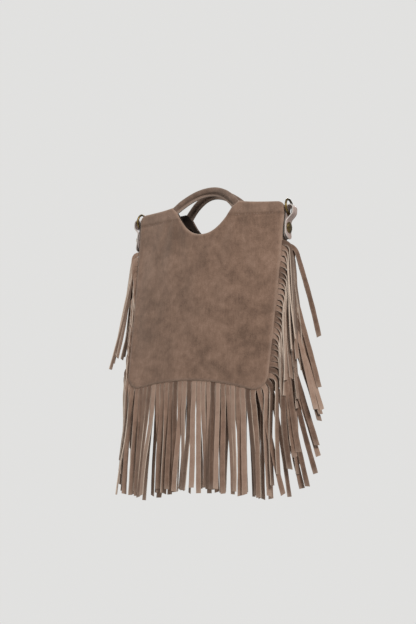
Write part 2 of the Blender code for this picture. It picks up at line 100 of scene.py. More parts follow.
TAB_TONGUE_HALF_WIDTH = 8.4
TONGUE_Z = 223.0
NECK_Z = 231.0
RING_RADIUS = 10.2
WIRE_RADIUS = 1.5
RING_AXIS_X = TAB_X + TAB + 0.6 + WIRE_RADIUS
RING_AXIS_Z = 236.4
RING_LEAN = math.radians(6.0)
LOOP_REACH = 6.4
FOLD_Z = 243.0
PINCH_Z = 225.2
RIVET_Z = 218.0
POST_RADIUS = 1.4
CAP_RADIUS = 7.5
BACK_CAP_RADIUS = 3.4

# Fine detail
OUTLINE_STEP = 2.0
GRID = 3.3
HEM_Z = 236.5                  # stitched line under each shoulder
HEM_START_X = 34.0             # where it fades out beside the notch
EDGE_ROLL = 3.4                # the panels' turned edge
SECTION_STEP = 3.0             # along a strand
CUT_LENGTH = 142.0             # of a hanging strand, measured from the seam
SIDE_THROW_Z = 168.0             # above this the left side's strands fall outside the panel
SIDE_SLOPE = math.radians(-1.4)  # a strand can't lean in further than the bag's side does
PLUMB = math.radians(3.2)      # the bag is held a little askew, so its fringe hangs towards +X


# ---------------------------------------------------------------- shape of the bag

def smooth(t):
    t = min(max(t, 0.0), 1.0)
    return t * t * (3.0 - 2.0 * t)


def half_width(z):
    return BASE_HALF_WIDTH + (TOP_HALF_WIDTH - BASE_HALF_WIDTH) * z / SHOULDER_HEIGHT


def panel_depth(x, z):
    """Distance of a panel's outer face from the bag's middle plane."""
    level = min(max(z / SHOULDER_HEIGHT, 0.0), 1.0)
    across = min(abs(x) / half_width(z), 1.0)
    edge = EDGE_DEPTH_TOP + (EDGE_DEPTH_BASE - EDGE_DEPTH_TOP) * (1.0 - level) ** 1.7
    swell = SWELL_BASE + (SWELL_TOP - SWELL_BASE) * level ** 0.8
    swell += BELLY * math.sin(math.pi * level)
    return edge + swell * (1.0 - across ** 2)


def base_z(x):
    return BASE_ARCH * (1.0 - (x / CORNER_REACH) ** 2)


def limb_direction():
    """Unit vector (x, z) in which the right horn points, up and towards the middle."""
    slope = 2.0 * ARCH_RISE / HORN_X
    length = math.hypot(1.0, slope)
    return -1.0 / length, slope / length


def seam_half():
    """The right half of the seam, from the middle of the base to the top of the side."""
    points = [(x, base_z(x)) for x in (CORNER_REACH * k / 24 for k in range(24))]
    reach = half_width(CORNER_HEIGHT) - CORNER_REACH
    for k in range(14):
        angle = math.pi / 2 * k / 13
        points.append((CORNER_REACH + reach * math.sin(angle), CORNER_HEIGHT * (1 - math.cos(angle))))
    top = SHOULDER_HEIGHT - TOP_CORNER_RADIUS
    for k in range(1, 41):
        z = CORNER_HEIGHT + (top - CORNER_HEIGHT) * k / 40
        points.append((half_width(z), z))
    return points


def top_half(inset=0.0):
    """The top edge from the side to the middle of the notch, moved down by inset."""
    points = []
    corner_x = half_width(SHOULDER_HEIGHT) - TOP_CORNER_RADIUS
    for k in range(1, 9):
        angle = math.pi / 2 * k / 8
        points.append((corner_x + TOP_CORNER_RADIUS * math.cos(angle),
                       SHOULDER_HEIGHT + TOP_CORNER_RADIUS * (math.sin(angle) - 1.0)))
    run, rise = limb_direction()
    outer = (HORN_X + HORN_HALF_WIDTH * rise, HORN_Z - HORN_HALF_WIDTH * run)
    inner = (HORN_X - HORN_HALF_WIDTH * rise, HORN_Z + HORN_HALF_WIDTH * run)
    span = corner_x - outer[0]
    for k in range(1, 21):
        t = k / 20
        points.append((corner_x - span * t, SHOULDER_HEIGHT + (outer[1] - SHOULDER_HEIGHT) * t ** 3))
    points.append(inner)
    for k in range(1, 31):
        t = math.cos(math.pi / 2 * k / 30)
        points.append((inner[0] * t, NOTCH_Z + (inner[1] - NOTCH_Z) * t ** NOTCH_POWER))
    return [(x, z - inset) for x, z in points]


def cut_size(outline):
    """Width and height of a cut piece in metres, and its area in square metres."""
    xs, zs = zip(*outline)
    area = sum(a[0] * b[1] - b[0] * a[1] for a, b in zip(outline, outline[1:] + outline[:1])) / 2
    return ((max(xs) - min(xs)) * MM, (max(zs) - min(zs)) * MM), abs(area) * MM * MM


def mirrored(half):
    left = [(-x, z) for x, z in reversed(half) if x > 1e-6]
    return half + left


def resampled(outline, step):
    """A closed outline with a point about every step along each side."""
    points = []
    for a, b in zip(outline, outline[1:] + outline[:1]):
        count = max(1, round(math.dist(a, b) / step))
        points += [(a[0] + (b[0] - a[0]) * k / count, a[1] + (b[1] - a[1]) * k / count)
                   for k in range(count)]
    return points


class Outline:
    """A closed outline that answers how far inside it a point is."""

    def __init__(self, points, cell=12.0):
        self.points = points
        self.cell = cell
        self.cells = {}
        for a, b in zip(points, points[1:] + points[:1]):
            for i in range(int(min(a[0], b[0]) // cell) - 1, int(max(a[0], b[0]) // cell) + 2):
                for j in range(int(min(a[1], b[1]) // cell) - 1, int(max(a[1], b[1]) // cell) + 2):
                    self.cells.setdefault((i, j), []).append((a, b))

    def distance(self, x, z):
        """Distance to the outline, or the cell size where it is further than that."""
        best = self.cell
        for (ax, az), (bx, bz) in self.cells.get((int(x // self.cell), int(z // self.cell)), ()):
            ux, uz = bx - ax, bz - az
            t = min(max(((x - ax) * ux + (z - az) * uz) / (ux * ux + uz * uz), 0.0), 1.0)
            best = min(best, math.hypot(x - ax - ux * t, z - az - uz * t))
        return best

    def inside(self, x, z):
        hit = False
        for k, (ax, az) in enumerate(self.points):
            bx, bz = self.points[k - 1]
            if (az > z) != (bz > z) and x < (bx - ax) * (z - az) / (bz - az) + ax:
                hit = not hit
        return hit


# ---------------------------------------------------------------- mesh helpers

def in_frame(point):
    return Vector((point[0], point[1], point[2] - GRIP_Z)) * MM


def add_piece(name, points, faces, materials, face_materials=None, values=None, smooth_angle=40.0,
              body="bag"):
    """Make a piece from millimetre points.  values are named numbers for its materials."""
    mesh = bpy.data.meshes.new(name)
    mesh.from_pydata([in_frame(p) for p in points], [], faces)
    for key, numbers in (values or {}).items():
        mesh.attributes.new(key, "FLOAT", "POINT").data.foreach_set("value", numbers)
    for material in materials:
        mesh.materials.append(material)
    if face_materials:
        mesh.polygons.foreach_set("material_index", face_materials)
    shell = bmesh.new()
    shell.from_mesh(mesh)
    bmesh.ops.recalc_face_normals(shell, faces=shell.faces)
    shell.to_mesh(mesh)
    shell.free()
    mesh.shade_smooth()
    mesh.set_sharp_from_angle(angle=math.radians(smooth_angle))
    piece = bpy.data.objects.new(name, mesh)
    bpy.context.scene.collection.objects.link(piece)
    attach(piece, body)
    return piece


def stand_in(node):
    """The piece is shown for a frame node, which is hidden."""
    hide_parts(node)


def sweep(sections, closed=False):
    """Join equal loops of points into a tube, capped at both ends unless it is closed."""
    count = len(sections[0])
    points = [p for section in sections for p in section]
    faces = []
    for i in range(len(sections) if closed else len(sections) - 1):
        here, there = i * count, (i + 1) % len(sections) * count
        for k in range(count):
            after = (k + 1) % count
            faces.append((here + k, here + after, there + after, there + k))
    if not closed:
        faces.append(tuple(range(count)))
        faces.append(tuple(range(len(points) - count, len(points))))
    return points, faces


def turned(profile, centre, direction, sides):
    """Turn (radius, height) points about an axis.  The first and last lie on the axis."""
    axis = Vector(direction).normalized()
    across = axis.orthogonal().normalized()
    other = axis.cross(across)
    points = [Vector(centre) + axis * profile[0][1]]
    for radius, height in profile[1:-1]:
        for k in range(sides):
            angle = 2 * math.pi * k / sides
            points.append(Vector(centre) + axis * height
                          + (across * math.cos(angle) + other * math.sin(angle)) * radius)
    points.append(Vector(centre) + axis * profile[-1][1])
    rows = len(profile) - 2
    last = len(points) - 1
    faces = []
    for k in range(sides):
        after = (k + 1) % sides
        faces.append((0, 1 + after, 1 + k))
        for row in range(rows - 1):
            here, there = 1 + row * sides, 1 + (row + 1) * sides
            faces.append((here + k, here + after, there + after, there + k))
        faces.append((last, 1 + (rows - 1) * sides + k, 1 + (rows - 1) * sides + after))
    return points, faces


def plate(outline, outer, inner, side, spacing, extra_rows=()):
    """A curved sheet over an (x, z) outline, between an outer and an inner depth."""
    shape = Outline(resampled(outline, OUTLINE_STEP))
    flat = [Vector(p) for p in shape.points]
    rim = len(flat)
    for k, (x, z) in enumerate(shape.points):
        before, after = Vector(shape.points[k - 1]), Vector(shape.points[(k + 1) % rim])
        run = (after - before).normalized()
        inward = Vector((-run.y, run.x))
        for reach in (0.7, 1.6, 2.8, 4.4):
            p = Vector((x, z)) + inward * reach
            if shape.distance(p.x, p.y) > reach * 0.93 and shape.inside(p.x, p.y):
                flat.append(p)
    low_x, high_x = min(p.x for p in flat), max(p.x for p in flat)
    low_z, high_z = min(p.y for p in flat), max(p.y for p in flat)
    rows = [low_z + k * spacing * 0.866 for k in range(int((high_z - low_z) / spacing / 0.866) + 1)]
    rows = [z for z in rows if all(abs(z - e) > spacing * 0.6 for e in extra_rows)] + list(extra_rows)
    for row, z in enumerate(sorted(rows)):
        for column in range(int((high_x - low_x) / spacing) + 2):
            x = low_x + (column + 0.5 * (row % 2)) * spacing
            if shape.distance(x, z) > 5.6 and shape.inside(x, z):
                flat.append(Vector((x, z)))
    edges = [(k, (k + 1) % rim) for k in range(rim)]
    flat, _, triangles = delaunay_2d_cdt(flat, edges, [], 0, 1e-4, False)[:3]
    count = len(flat)
    away = [shape.distance(p.x, p.y) for p in flat]
    points = [(p.x, side * outer(p.x, p.y, d), p.y) for p, d in zip(flat, away)]
    points += [(p.x, side * inner(p.x, p.y, d), p.y) for p, d in zip(flat, away)]
    faces = []
    for face in triangles:
        middle = sum((flat[k] for k in face), Vector((0.0, 0.0))) / 3
        if shape.inside(middle.x, middle.y):
            faces.append(tuple(face))
    directed = {edge for face in faces for edge in zip(face, face[1:] + face[:1])}
    rim_edges = sorted((a, b) for a, b in directed if (b, a) not in directed)
    faces += [tuple(k + count for k in reversed(face)) for face in faces]
    faces += [(b, a, a + count, b + count) for a, b in rim_edges]
    # Lighter towards the rim: partly wear, partly a painted highlight on the turned edge.
    wear_and_highlight = [max(0.0, 1.0 - d / EDGE_ROLL) for d in away]
    return points, faces, wear_and_highlight + wear_and_highlight


# ---------------------------------------------------------------- materials

class Shader:
    """A Principled material with short calls for its nodes.  Lengths are in metres."""

    def __init__(self, name, **inputs):
        self.material = bpy.data.materials.new(name)
        self.material.use_nodes = True
        self.tree = self.material.node_tree
        self.surface = self.tree.nodes["Principled BSDF"]
        for key, value in inputs.items():
            self.surface.inputs[key.replace("_", " ")].default_value = value
        self.place = self.tree.nodes.new("ShaderNodeTexCoord").outputs["Object"]
        self.height = None

    def link(self, source, target):
        self.tree.links.new(source, target)

    def stretched(self, x, y, z):
        mapping = self.tree.nodes.new("ShaderNodeMapping")
        mapping.inputs["Scale"].default_value = (x, y, z)
        self.link(self.place, mapping.inputs["Vector"])
        return mapping.outputs["Vector"]

    def noise(self, size, detail=3.0, roughness=0.5, stretch=None, distortion=0.0):
        """Noise with features about size metres across, from 0 to 1."""
        node = self.tree.nodes.new("ShaderNodeTexNoise")
        node.inputs["Scale"].default_value = 1.0 / size
        node.inputs["Detail"].default_value = detail
        node.inputs["Roughness"].default_value = roughness
        node.inputs["Distortion"].default_value = distortion
        self.link(self.stretched(*stretch) if stretch else self.place, node.inputs["Vector"])
        return node.outputs["Fac"]

    def value(self, name):
        node = self.tree.nodes.new("ShaderNodeAttribute")
        node.attribute_name = name
        return node.outputs["Fac"]

    def band(self, source, low, high, to_low=0.0, to_high=1.0):
        """source from low..high to to_low..to_high, clamped."""
        node = self.tree.nodes.new("ShaderNodeMapRange")
        for key, number in zip(("From Min", "From Max", "To Min", "To Max"), (low, high, to_low, to_high)):
            node.inputs[key].default_value = number
        self.link(source, node.inputs["Value"])
        return node.outputs["Result"]

    def mix(self, factor, a, b, blend="MIX"):
        """Mix two colours, each a socket or three numbers."""
        node = self.tree.nodes.new("ShaderNodeMix")
        node.data_type = "RGBA"
        node.blend_type = blend
        if isinstance(factor, float):
            node.inputs[0].default_value = factor
        else:
            self.link(factor, node.inputs[0])
        for value, socket in ((a, node.inputs[6]), (b, node.inputs[7])):
            if isinstance(value, tuple):
                socket.default_value = (*value, 1.0)
            else:
                self.link(value, socket)
        return node.outputs[2]

    def maths(self, operation, a, b):
        node = self.tree.nodes.new("ShaderNodeMath")
        node.operation = operation
        for value, socket in zip((a, b), node.inputs):
            if isinstance(value, float):
                socket.default_value = value
            else:
                self.link(value, socket)
        return node.outputs[0]

    def bump(self, source, depth, strength=1.0):
        """Add a bump of that depth in metres over those already there."""
        node = self.tree.nodes.new("ShaderNodeBump")
        node.inputs["Distance"].default_value = depth
        node.inputs["Strength"].default_value = strength
        self.link(source, node.inputs["Height"])
        if self.height:
            self.link(self.height, node.inputs["Normal"])
        self.height = node.outputs["Normal"]

    def finish(self, colour=None, roughness=None, metallic=None):
        for key, source in (("Base Color", colour), ("Roughness", roughness), ("Metallic", metallic)):
            if source is not None:
                self.link(source, self.surface.inputs[key])
        if self.height:
            self.link(self.height, self.surface.inputs["Normal"])
        return self.material


def make_suede(name, deep, middle, light, worn_and_highlight, clouds=0.032, streak=1.0, sheen=0.35):
    """Brushed suede: clouds where the nap lies another way, brush streaks, and a fine fibrous grain."""
    s = Shader(name, IOR=1.4, Specular_IOR_Level=0.12, Sheen_Weight=sheen, Sheen_Roughness=0.55,
               Sheen_Tint=(0.95, 0.80, 0.68, 1.0))
    cloud = s.noise(clouds, detail=4.0, roughness=0.6, distortion=0.6)
    patch = s.noise(clouds * 0.28, detail=3.0, roughness=0.6)
    brush = s.noise(0.006, detail=3.0, roughness=0.65, stretch=(2.4, 2.4, 0.5))
    grain = s.noise(0.0011, detail=2.0, roughness=0.7)
    fleck = s.noise(0.0004, detail=1.0)
    blend = s.maths("ADD", s.band(cloud, 0.30, 0.70, -0.02, 0.58), s.band(patch, 0.25, 0.75, -0.18, 0.30))
    blend = s.maths("ADD", blend, s.band(brush, 0.25, 0.75, -0.15 * streak, 0.19 * streak))
    blend = s.maths("ADD", blend, s.band(grain, 0.30, 0.70, -0.18, 0.22))
    colour = s.mix(s.band(blend, 0.0, 0.5), deep, middle)
    colour = s.mix(s.band(blend, 0.5, 1.0), colour, light)
    # Painted highlight: the rolled edges are mixed towards the worn colour, partly wear and partly the
    # light they catch.
    colour = s.mix(s.band(s.value("wear_and_highlight"), 0.0, 1.0, 0.0, 0.45), colour, worn_and_highlight)
    # Painted shade: the stitched hem line is darkened towards the deep colour, as shade in its groove.
    colour = s.mix(s.band(s.value("painted_hem_shade"), 0.0, 1.0, 0.0, 0.55), colour, deep)
    colour = s.mix(s.band(fleck, 0.35, 0.75, 0.0, 0.16), colour, worn_and_highlight)
    s.bump(s.noise(0.0026, detail=3.0, roughness=0.6), 0.00035, 0.5)
    s.bump(grain, 0.00025, 0.7)
    s.bump(fleck, 0.00010, 0.5)
    rough = s.band(grain, 0.2, 0.8, 0.86, 0.98)
    return s.finish(colour=colour, roughness=rough)


def make_strand_suede():
    """Fringe leather: each strand a little lighter or darker than the next."""
    s = Shader("fringe_suede_nap", IOR=1.4, Specular_IOR_Level=0.12, Sheen_Weight=0.3,
               Sheen_Roughness=0.55, Sheen_Tint=(0.95, 0.80, 0.68, 1.0))
    tone = s.value("tone")
    patch = s.noise(0.012, detail=3.0, roughness=0.6)
    fibre = s.noise(0.0016, detail=3.0, roughness=0.7, stretch=(1.6, 1.6, 0.5))
    grain = s.noise(0.0009, detail=2.0, roughness=0.7)
    blend = s.maths("ADD", s.band(tone, 0.0, 1.0, 0.0, 0.92), s.band(patch, 0.25, 0.75, -0.18, 0.18))
    blend = s.maths("ADD", blend, s.band(fibre, 0.3, 0.7, -0.12, 0.12))
    blend = s.maths("ADD", blend, s.band(grain, 0.3, 0.7, -0.10, 0.10))
    colour = s.mix(s.band(blend, 0.0, 0.5), FRINGE_DEEP, FRINGE_MIDDLE)
    colour = s.mix(s.band(blend, 0.5, 1.0), colour, FRINGE_LIGHT)
    colour = s.mix(s.band(s.value("wear_and_highlight"), 0.0, 1.0, 0.0, 0.6), colour, EDGE_CREAM)
    s.bump(fibre, 0.00025, 0.5)
    s.bump(grain, 0.0002, 0.6)
    return s.finish(colour=colour, roughness=s.band(grain, 0.2, 0.8, 0.84, 0.97))


def make_cut_edge(name, light, dark):
    """The pale, fibrous core that shows where leather is cut."""
    s = Shader(name, IOR=1.4, Specular_IOR_Level=0.15, Sheen_Weight=0.15)
    fibre = s.noise(0.0009, detail=3.0, roughness=0.75)
    patch = s.noise(0.009, detail=2.0)
    colour = s.mix(s.band(fibre, 0.25, 0.75), dark, light)
    colour = s.mix(s.band(patch, 0.35, 0.75, 0.0, 0.35), colour, dark)
    s.bump(fibre, 0.0003, 0.8)
    return s.finish(colour=colour, roughness=s.band(fibre, 0.2, 0.8, 0.8, 0.95))


def make_leather():
    """Smooth pinkish leather with fine pores and a soft mottling, as of folds."""
    s = Shader("tab_leather_grain", IOR=1.45, Specular_IOR_Level=0.35, Coat_Weight=0.04, Coat_Roughness=0.5)
    patch = s.noise(0.007, detail=4.0, roughness=0.6)
    pore = s.tree.nodes.new("ShaderNodeTexVoronoi")
    pore.inputs["Scale"].default_value = 1.0 / 0.0009
    s.link(s.place, pore.inputs["Vector"])
    pores = pore.outputs["Distance"]
    colour = s.mix(s.band(patch, 0.3, 0.7), (0.270, 0.198, 0.172), (0.360, 0.278, 0.245))
    colour = s.mix(s.band(pores, 0.0, 0.25, 0.35, 0.0), colour, (0.190, 0.135, 0.110))
    # Painted highlight: the tab's face is lighter along its borders, partly wear and partly the light they
    # catch.
    colour = s.mix(s.band(s.value("wear_and_highlight"), 0.0, 1.0, 0.0, 0.5), colour, (0.440, 0.370, 0.330))
    s.bump(s.band(pores, 0.0, 0.5), 0.00012, 0.6)
    s.bump(s.noise(0.0028, detail=3.0), 0.0003, 0.35)
    return s.finish(colour=colour, roughness=s.band(patch, 0.3, 0.7, 0.50, 0.66))


def make_lining():
    """Dark brown cloth in a plain weave."""
    s = Shader("lining_weave", IOR=1.4, Specular_IOR_Level=0.2, Sheen_Weight=0.2)
    threads = []
    for direction in ("X", "Z"):
        wave = s.tree.nodes.new("ShaderNodeTexWave")
        wave.bands_direction = direction
        wave.inputs["Scale"].default_value = 1.0 / 0.0013 / 2
        wave.inputs["Distortion"].default_value = 0.6
        wave.inputs["Detail"].default_value = 1.0
        s.link(s.place, wave.inputs["Vector"])
        threads.append(wave.outputs["Fac"])
    weave = s.maths("MULTIPLY", threads[0], threads[1])
    patch = s.noise(0.02, detail=3.0)
    colour = s.mix(weave, (0.012, 0.008, 0.006), (0.034, 0.023, 0.017))
    colour = s.mix(s.band(patch, 0.4, 0.8, 0.0, 0.4), colour, (0.020, 0.013, 0.010))
    s.bump(weave, 0.0002, 0.7)
    return s.finish(colour=colour, roughness=s.band(weave, 0.0, 1.0, 0.9, 0.8))


def make_brass():
    """Antique brass: a dark patina rubbed through to yellow metal."""
    s = Shader("antique_brass_patina", Specular_IOR_Level=0.5)
    patch = s.noise(0.0035, detail=4.0, roughness=0.65)
    speck = s.noise(0.0007, detail=3.0, roughness=0.7)
    rub = s.band(s.maths("ADD", s.value("wear_and_highlight"), s.band(patch, 0.3, 0.7, -0.35, 0.35)), 0.35, 1.0)
    colour = s.mix(rub, (0.036, 0.027, 0.016), (0.320, 0.216, 0.072))
    colour = s.mix(s.band(speck, 0.5, 0.75, 0.0, 0.6), colour, (0.035, 0.028, 0.018))
    s.bump(speck, 0.00006, 0.5)
    return s.finish(colour=colour, roughness=s.band(rub, 0.0, 1.0, 0.48, 0.28),
                    metallic=s.band(rub, 0.0, 0.6, 0.75, 1.0))


def make_thread(name, light, dark):
    """Sewing thread with its twist."""
    s = Shader(name, IOR=1.45, Specular_IOR_Level=0.3, Sheen_Weight=0.1)
    ply = s.noise(0.0005, detail=2.0)
    s.bump(ply, 0.0001, 0.6)
    return s.finish(colour=s.mix(s.band(ply, 0.3, 0.7), dark, light),
                    roughness=s.band(ply, 0.2, 0.8, 0.6, 0.8))


FRINGE_DEEP = (0.082, 0.047, 0.032)
FRINGE_MIDDLE = (0.188, 0.116, 0.082)
FRINGE_LIGHT = (0.275, 0.184, 0.138)
EDGE_CREAM = (0.540, 0.440, 0.360)

panel_suede = make_suede("panel_suede_nap", (0.092, 0.052, 0.034), (0.162, 0.096, 0.065),
                         (0.236, 0.148, 0.106), (0.330, 0.233, 0.180))
handle_suede = make_suede("handle_suede_nap", (0.070, 0.042, 0.029), (0.115, 0.072, 0.051),
                          (0.160, 0.105, 0.078), (0.360, 0.275, 0.225), clouds=0.02, streak=0.4)
# Painted shade: the facings' suede is near-black with almost no sheen, standing in for the shade inside the
# bag.
facing_suede_painted_shade = make_suede("facing_nap_painted_shade", (0.010, 0.006, 0.005), (0.017, 0.011, 0.008),
                         (0.026, 0.017, 0.013), (0.040, 0.028, 0.021), sheen=0.03)
strand_suede = make_strand_suede()
cream_edge = make_cut_edge("cream_cut_edge", EDGE_CREAM, (0.380, 0.290, 0.225))
tab_edge = make_cut_edge("tab_cut_edge", (0.600, 0.560, 0.520), (0.390, 0.350, 0.315))
# Painted shade: a dark copy of the tab's cut edge, standing in for the inner layer's edge in shadow.
tab_edge_painted_shade = make_cut_edge("tab_cut_edge_painted_shade", (0.110, 0.105, 0.095), (0.050, 0.047, 0.042))
tab_leather = make_leather()
lining_cloth = make_lining()
brass = make_brass()
thread = make_thread("taupe_thread", (0.330, 0.240, 0.190), (0.180, 0.120, 0.090))


# ---------------------------------------------------------------- sewn body

def undulation(x, z, side):
    """Slack in the suede: broad soft waves, and drag lines that hang from the horns."""
    wave = noise.noise(Vector((x / 62.0, z / 48.0, 3.1 + side))) * 1.9
    wave += noise.noise(Vector((x / 23.0, z / 27.0, 8.4 + side))) * 0.55
    for horn in (-HORN_X, HORN_X):
        fan = (x - horn) / (14.0 + 0.35 * max(HORN_Z - z, 0.0))
        fade = smooth((z - 90.0) / 60.0) * smooth((HORN_Z - z) / 25.0)
        wave += 0.55 * fade * math.cos(2.2 * fan * math.pi) * math.exp(-fan * fan)
    return wave


def hem_share(x):
    """1 where the stitched hem line runs, under the shoulders, fading towards the notch."""
    return smooth((abs(x) - HEM_START_X) / 6.0)


def panel_outer(side):
    """Outer face: rolls over at the turned edge and dips into the stitched hem line."""
    def depth(x, z, away):
        settle = smooth(away / 16.0)
        roll = 0.0
        if away < EDGE_ROLL:
            roll = -1.9 * (1.0 - math.sqrt(max(1.0 - (1.0 - away / EDGE_ROLL) ** 2, 0.0)))
        puff = 0.75 * math.exp(-((away - 4.2) / 3.0) ** 2)
        hem = -1.0 * hem_share(x) * math.exp(-((z - HEM_Z) / 1.5) ** 2)
        above = 0.6 * hem_share(x) * smooth((z - HEM_Z + 0.5) / 2.5)
        pucker = 0.22 * math.sin(x * 2 * math.pi / 5.2) * math.exp(-((z - HEM_Z) / 4.0) ** 2)
        return panel_depth(x, z) + roll + puff + settle * (undulation(x, z, side) + hem + pucker) + above
    return depth


def panel_inner(side):
    outer = panel_outer(side)

    def depth(x, z, away):
        return min(panel_depth(x, z) - SUEDE, outer(x, z, away) - 0.35)
    return depth


def add_panel(name, side):
    outline = mirrored(seam_half() + top_half())
    rows = [HEM_Z + offset for offset in (-3.0, -1.5, 0.0, 1.5, 3.0)]
    points, faces, wear_and_highlight = plate(outline, panel_outer(side), panel_inner(side), side, GRID, rows)
    # Painted shade along the stitched hem line.
    painted_hem_shade = [hem_share(x) * math.exp(-((z - HEM_Z) / 1.7) ** 2) for x, _, z in points]
    # The shoulders above the hem line are painted a little lighter.
    wear_and_highlight = [max(w, 0.3 * hem_share(x) * smooth((z - HEM_Z) / 4.0)) for w, (x, _, z) in zip(wear_and_highlight, points)]
    piece = add_piece(name + "_suede", points, faces, [panel_suede],
                      values={"wear_and_highlight": wear_and_highlight, "painted_hem_shade": painted_hem_shade})
    stand_in(name)
    flat, area = cut_size(outline)
    return piece


def facing_bottom_z(x):
    across = min(abs(x) / FACING_DIP_X, 1.0)
    return FACING_Z - FACING_DROP * (1.0 - across ** 2)


def facing_depth(x, z, away):
    """Outer face of the facing: against the panel, and behind the handle's sewn end."""
    run, rise = limb_direction()
    middle = Vector((HORN_X - run * TAIL / 2, HORN_Z - rise * TAIL / 2))
    off = (Vector((abs(x), z)) - middle).length
    lift = (TAIL_THICKNESS + GAP + 0.3) * smooth((34.0 - off) / 12.0)
    return panel_depth(x, z) - SUEDE - GAP - lift


def add_facing(name, side):
    side_x = half_width(FACING_Z) - FACING_SIDE
    half = [(x, facing_bottom_z(x)) for x in range(0, 45, 4)]
    half += [(60.0, FACING_Z), (78.0, FACING_Z), (95.0, FACING_Z), (side_x, FACING_Z)]
    half += [p for p in top_half(inset=0.7) if p[0] < side_x - 1.0]

    def inner(x, z, away):
        ripple = 0.25 * noise.noise(Vector((x / 14.0, z / 12.0, 5.5)))
        return facing_depth(x, z, away) - FACING - ripple

    points, faces, wear_and_highlight = plate(mirrored(half), facing_depth, inner, side, 4.2)
    piece = add_piece(name + "_suede", points, faces, [facing_suede_painted_shade], values={"wear_and_highlight": wear_and_highlight})
    stand_in(name)
    (wide, _), area = cut_size(mirrored(half))
    return piece


class SeamPath:
    """The seam from the top of the right side, round the base, to the top of the left side."""

    def __init__(self, top_z):
        half = [p for p in seam_half() if p[1] < top_z - 1.0 or p[0] < CORNER_REACH]
        half.append((half_width(top_z), top_z))
        self.points = [Vector(p) for p in reversed(half)]
        self.points += [Vector((-p[0], p[1])) for p in half if p[0] > 1e-6]
        self.stations = [0.0]
        for a, b in zip(self.points, self.points[1:]):
            self.stations.append(self.stations[-1] + (b - a).length)
        self.length = self.stations[-1]

    def at(self, distance):
        """Point and outward normal at a distance along the seam."""
        distance = min(max(distance, 0.0), self.length)
        k = 0
        while k < len(self.stations) - 2 and self.stations[k + 1] < distance:
            k += 1
        run = self.points[k + 1] - self.points[k]
        t = (distance - self.stations[k]) / run.length
        point = self.points[k] + run * t
        first, last = self.normal(k), self.normal(k + 1)
        return point, (first * (1 - t) + last * t).normalized()

    def normal(self, k):
        a = self.points[max(k - 1, 0)]
        b = self.points[min(k + 1, len(self.points) - 1)]
        run = (b - a).normalized()
        return Vector((-run.y, run.x))


def in_space(flat, normal, offset, y):
    moved = flat + normal * offset
    return moved.x, y, moved.y


def add_gusset():
    """The strip between the panels.  Its middle sinks in where nothing is riveted to it."""
    path = SeamPath(GUSSET_TOP_Z)
    sections, widths = [], []
    count = 260
    across = 9
    for k in range(count + 1):
        flat, normal = path.at(path.length * k / count)
        front = panel_depth(flat.x, flat.y) - SUEDE - STRAP_THICKNESS - 2 * GAP
        slack = smooth((TAB_TIP_Z - 6.0 - flat.y) / 24.0)
        widths.append(2 * front + 2 * FLANGE)
        outer, inner = [(-FLANGE, -front)], [(-FLANGE, front - GUSSET)]
        for j in range(across):
            t = 2.0 * j / (across - 1) - 1.0
            ripple = 0.7 * noise.noise(Vector((flat.x / 22.0, t * 1.5, flat.y / 22.0)))
            sag = slack * ((2.4 + ripple) * (1.0 - t * t))
            outer.append((-0.6 - sag, front * t))
            inner.append((-0.6 - sag - GUSSET, (front - GUSSET) * -t))
        outer.append((-FLANGE, front))
        inner.append((-FLANGE, GUSSET - front))
        sections.append([in_space(flat, normal, offset, y) for offset, y in outer + inner])
    points, faces = sweep(sections)
    piece = add_piece("gusset_suede", points, faces, [panel_suede], values={"wear_and_highlight": [0.0] * len(points)})
    stand_in("gusset")
    max(widths) * MM
    sum(widths) / len(widths) * path.length * MM * MM
    return piece


def add_lining():
    """A thin cloth pouch, open at the top, with soft wrinkles."""
    columns, rows = 84, 60

    def shell(inner):
        front, back = [], []
        for i in range(columns + 1):
            u = 2.0 * i / columns - 1.0
            for j in range(rows + 1):
                low = base_z(u * CORNER_REACH) + LINING_SIDE + 9.0 * abs(u) ** 6 + inner
                high = facing_bottom_z(u * (half_width(FACING_Z) - LINING_SIDE)) - LINING_TOP_GAP
                z = low + (high - low) * j / rows
                x = u * (half_width(z) - LINING_SIDE - inner)
                fade = min(1.0 - abs(u), 0.15) / 0.15 * min(j, rows - j, 5) / 5
                for points, side in ((front, -1), (back, 1)):
                    wrinkle = 1.1 * (noise.noise(Vector((x / 17.0, side * 4.0, z / 34.0))) + 0.5)
                    y = panel_depth(x, z) - SUEDE - LINING_GAP - inner - max(wrinkle, 0.0) * fade
                    points.append((x, side * y, z))
        return front + back

    points = shell(0.0) + shell(LINING)
    sheet = (columns + 1) * (rows + 1)

    def index(i, j, back=False, inner=False):
        return i * (rows + 1) + j + sheet * back + 2 * sheet * inner

    faces = []
    for inner in (False, True):
        for i in range(columns):
            for j in range(rows):
                for back in (False, True):
                    faces.append((index(i, j, back, inner), index(i + 1, j, back, inner),
                                  index(i + 1, j + 1, back, inner), index(i, j + 1, back, inner)))
            faces.append((index(i, 0, False, inner), index(i + 1, 0, False, inner),
                          index(i + 1, 0, True, inner), index(i, 0, True, inner)))
        for i in (0, columns):
            for j in range(rows):
                faces.append((index(i, j, False, inner), index(i, j + 1, False, inner),
                              index(i, j + 1, True, inner), index(i, j, True, inner)))
    for i in range(columns):
        for back in (False, True):
            faces.append((index(i, rows, back), index(i + 1, rows, back),
                          index(i + 1, rows, back, True), index(i, rows, back, True)))
    for i in (0, columns):
        faces.append((index(i, rows, False), index(i, rows, True),
                      index(i, rows, True, True), index(i, rows, False, True)))
    piece = add_piece("lining_pouch", points, faces, [lining_cloth])
    stand_in("lining")
    return piece


# ---------------------------------------------------------------- fringe

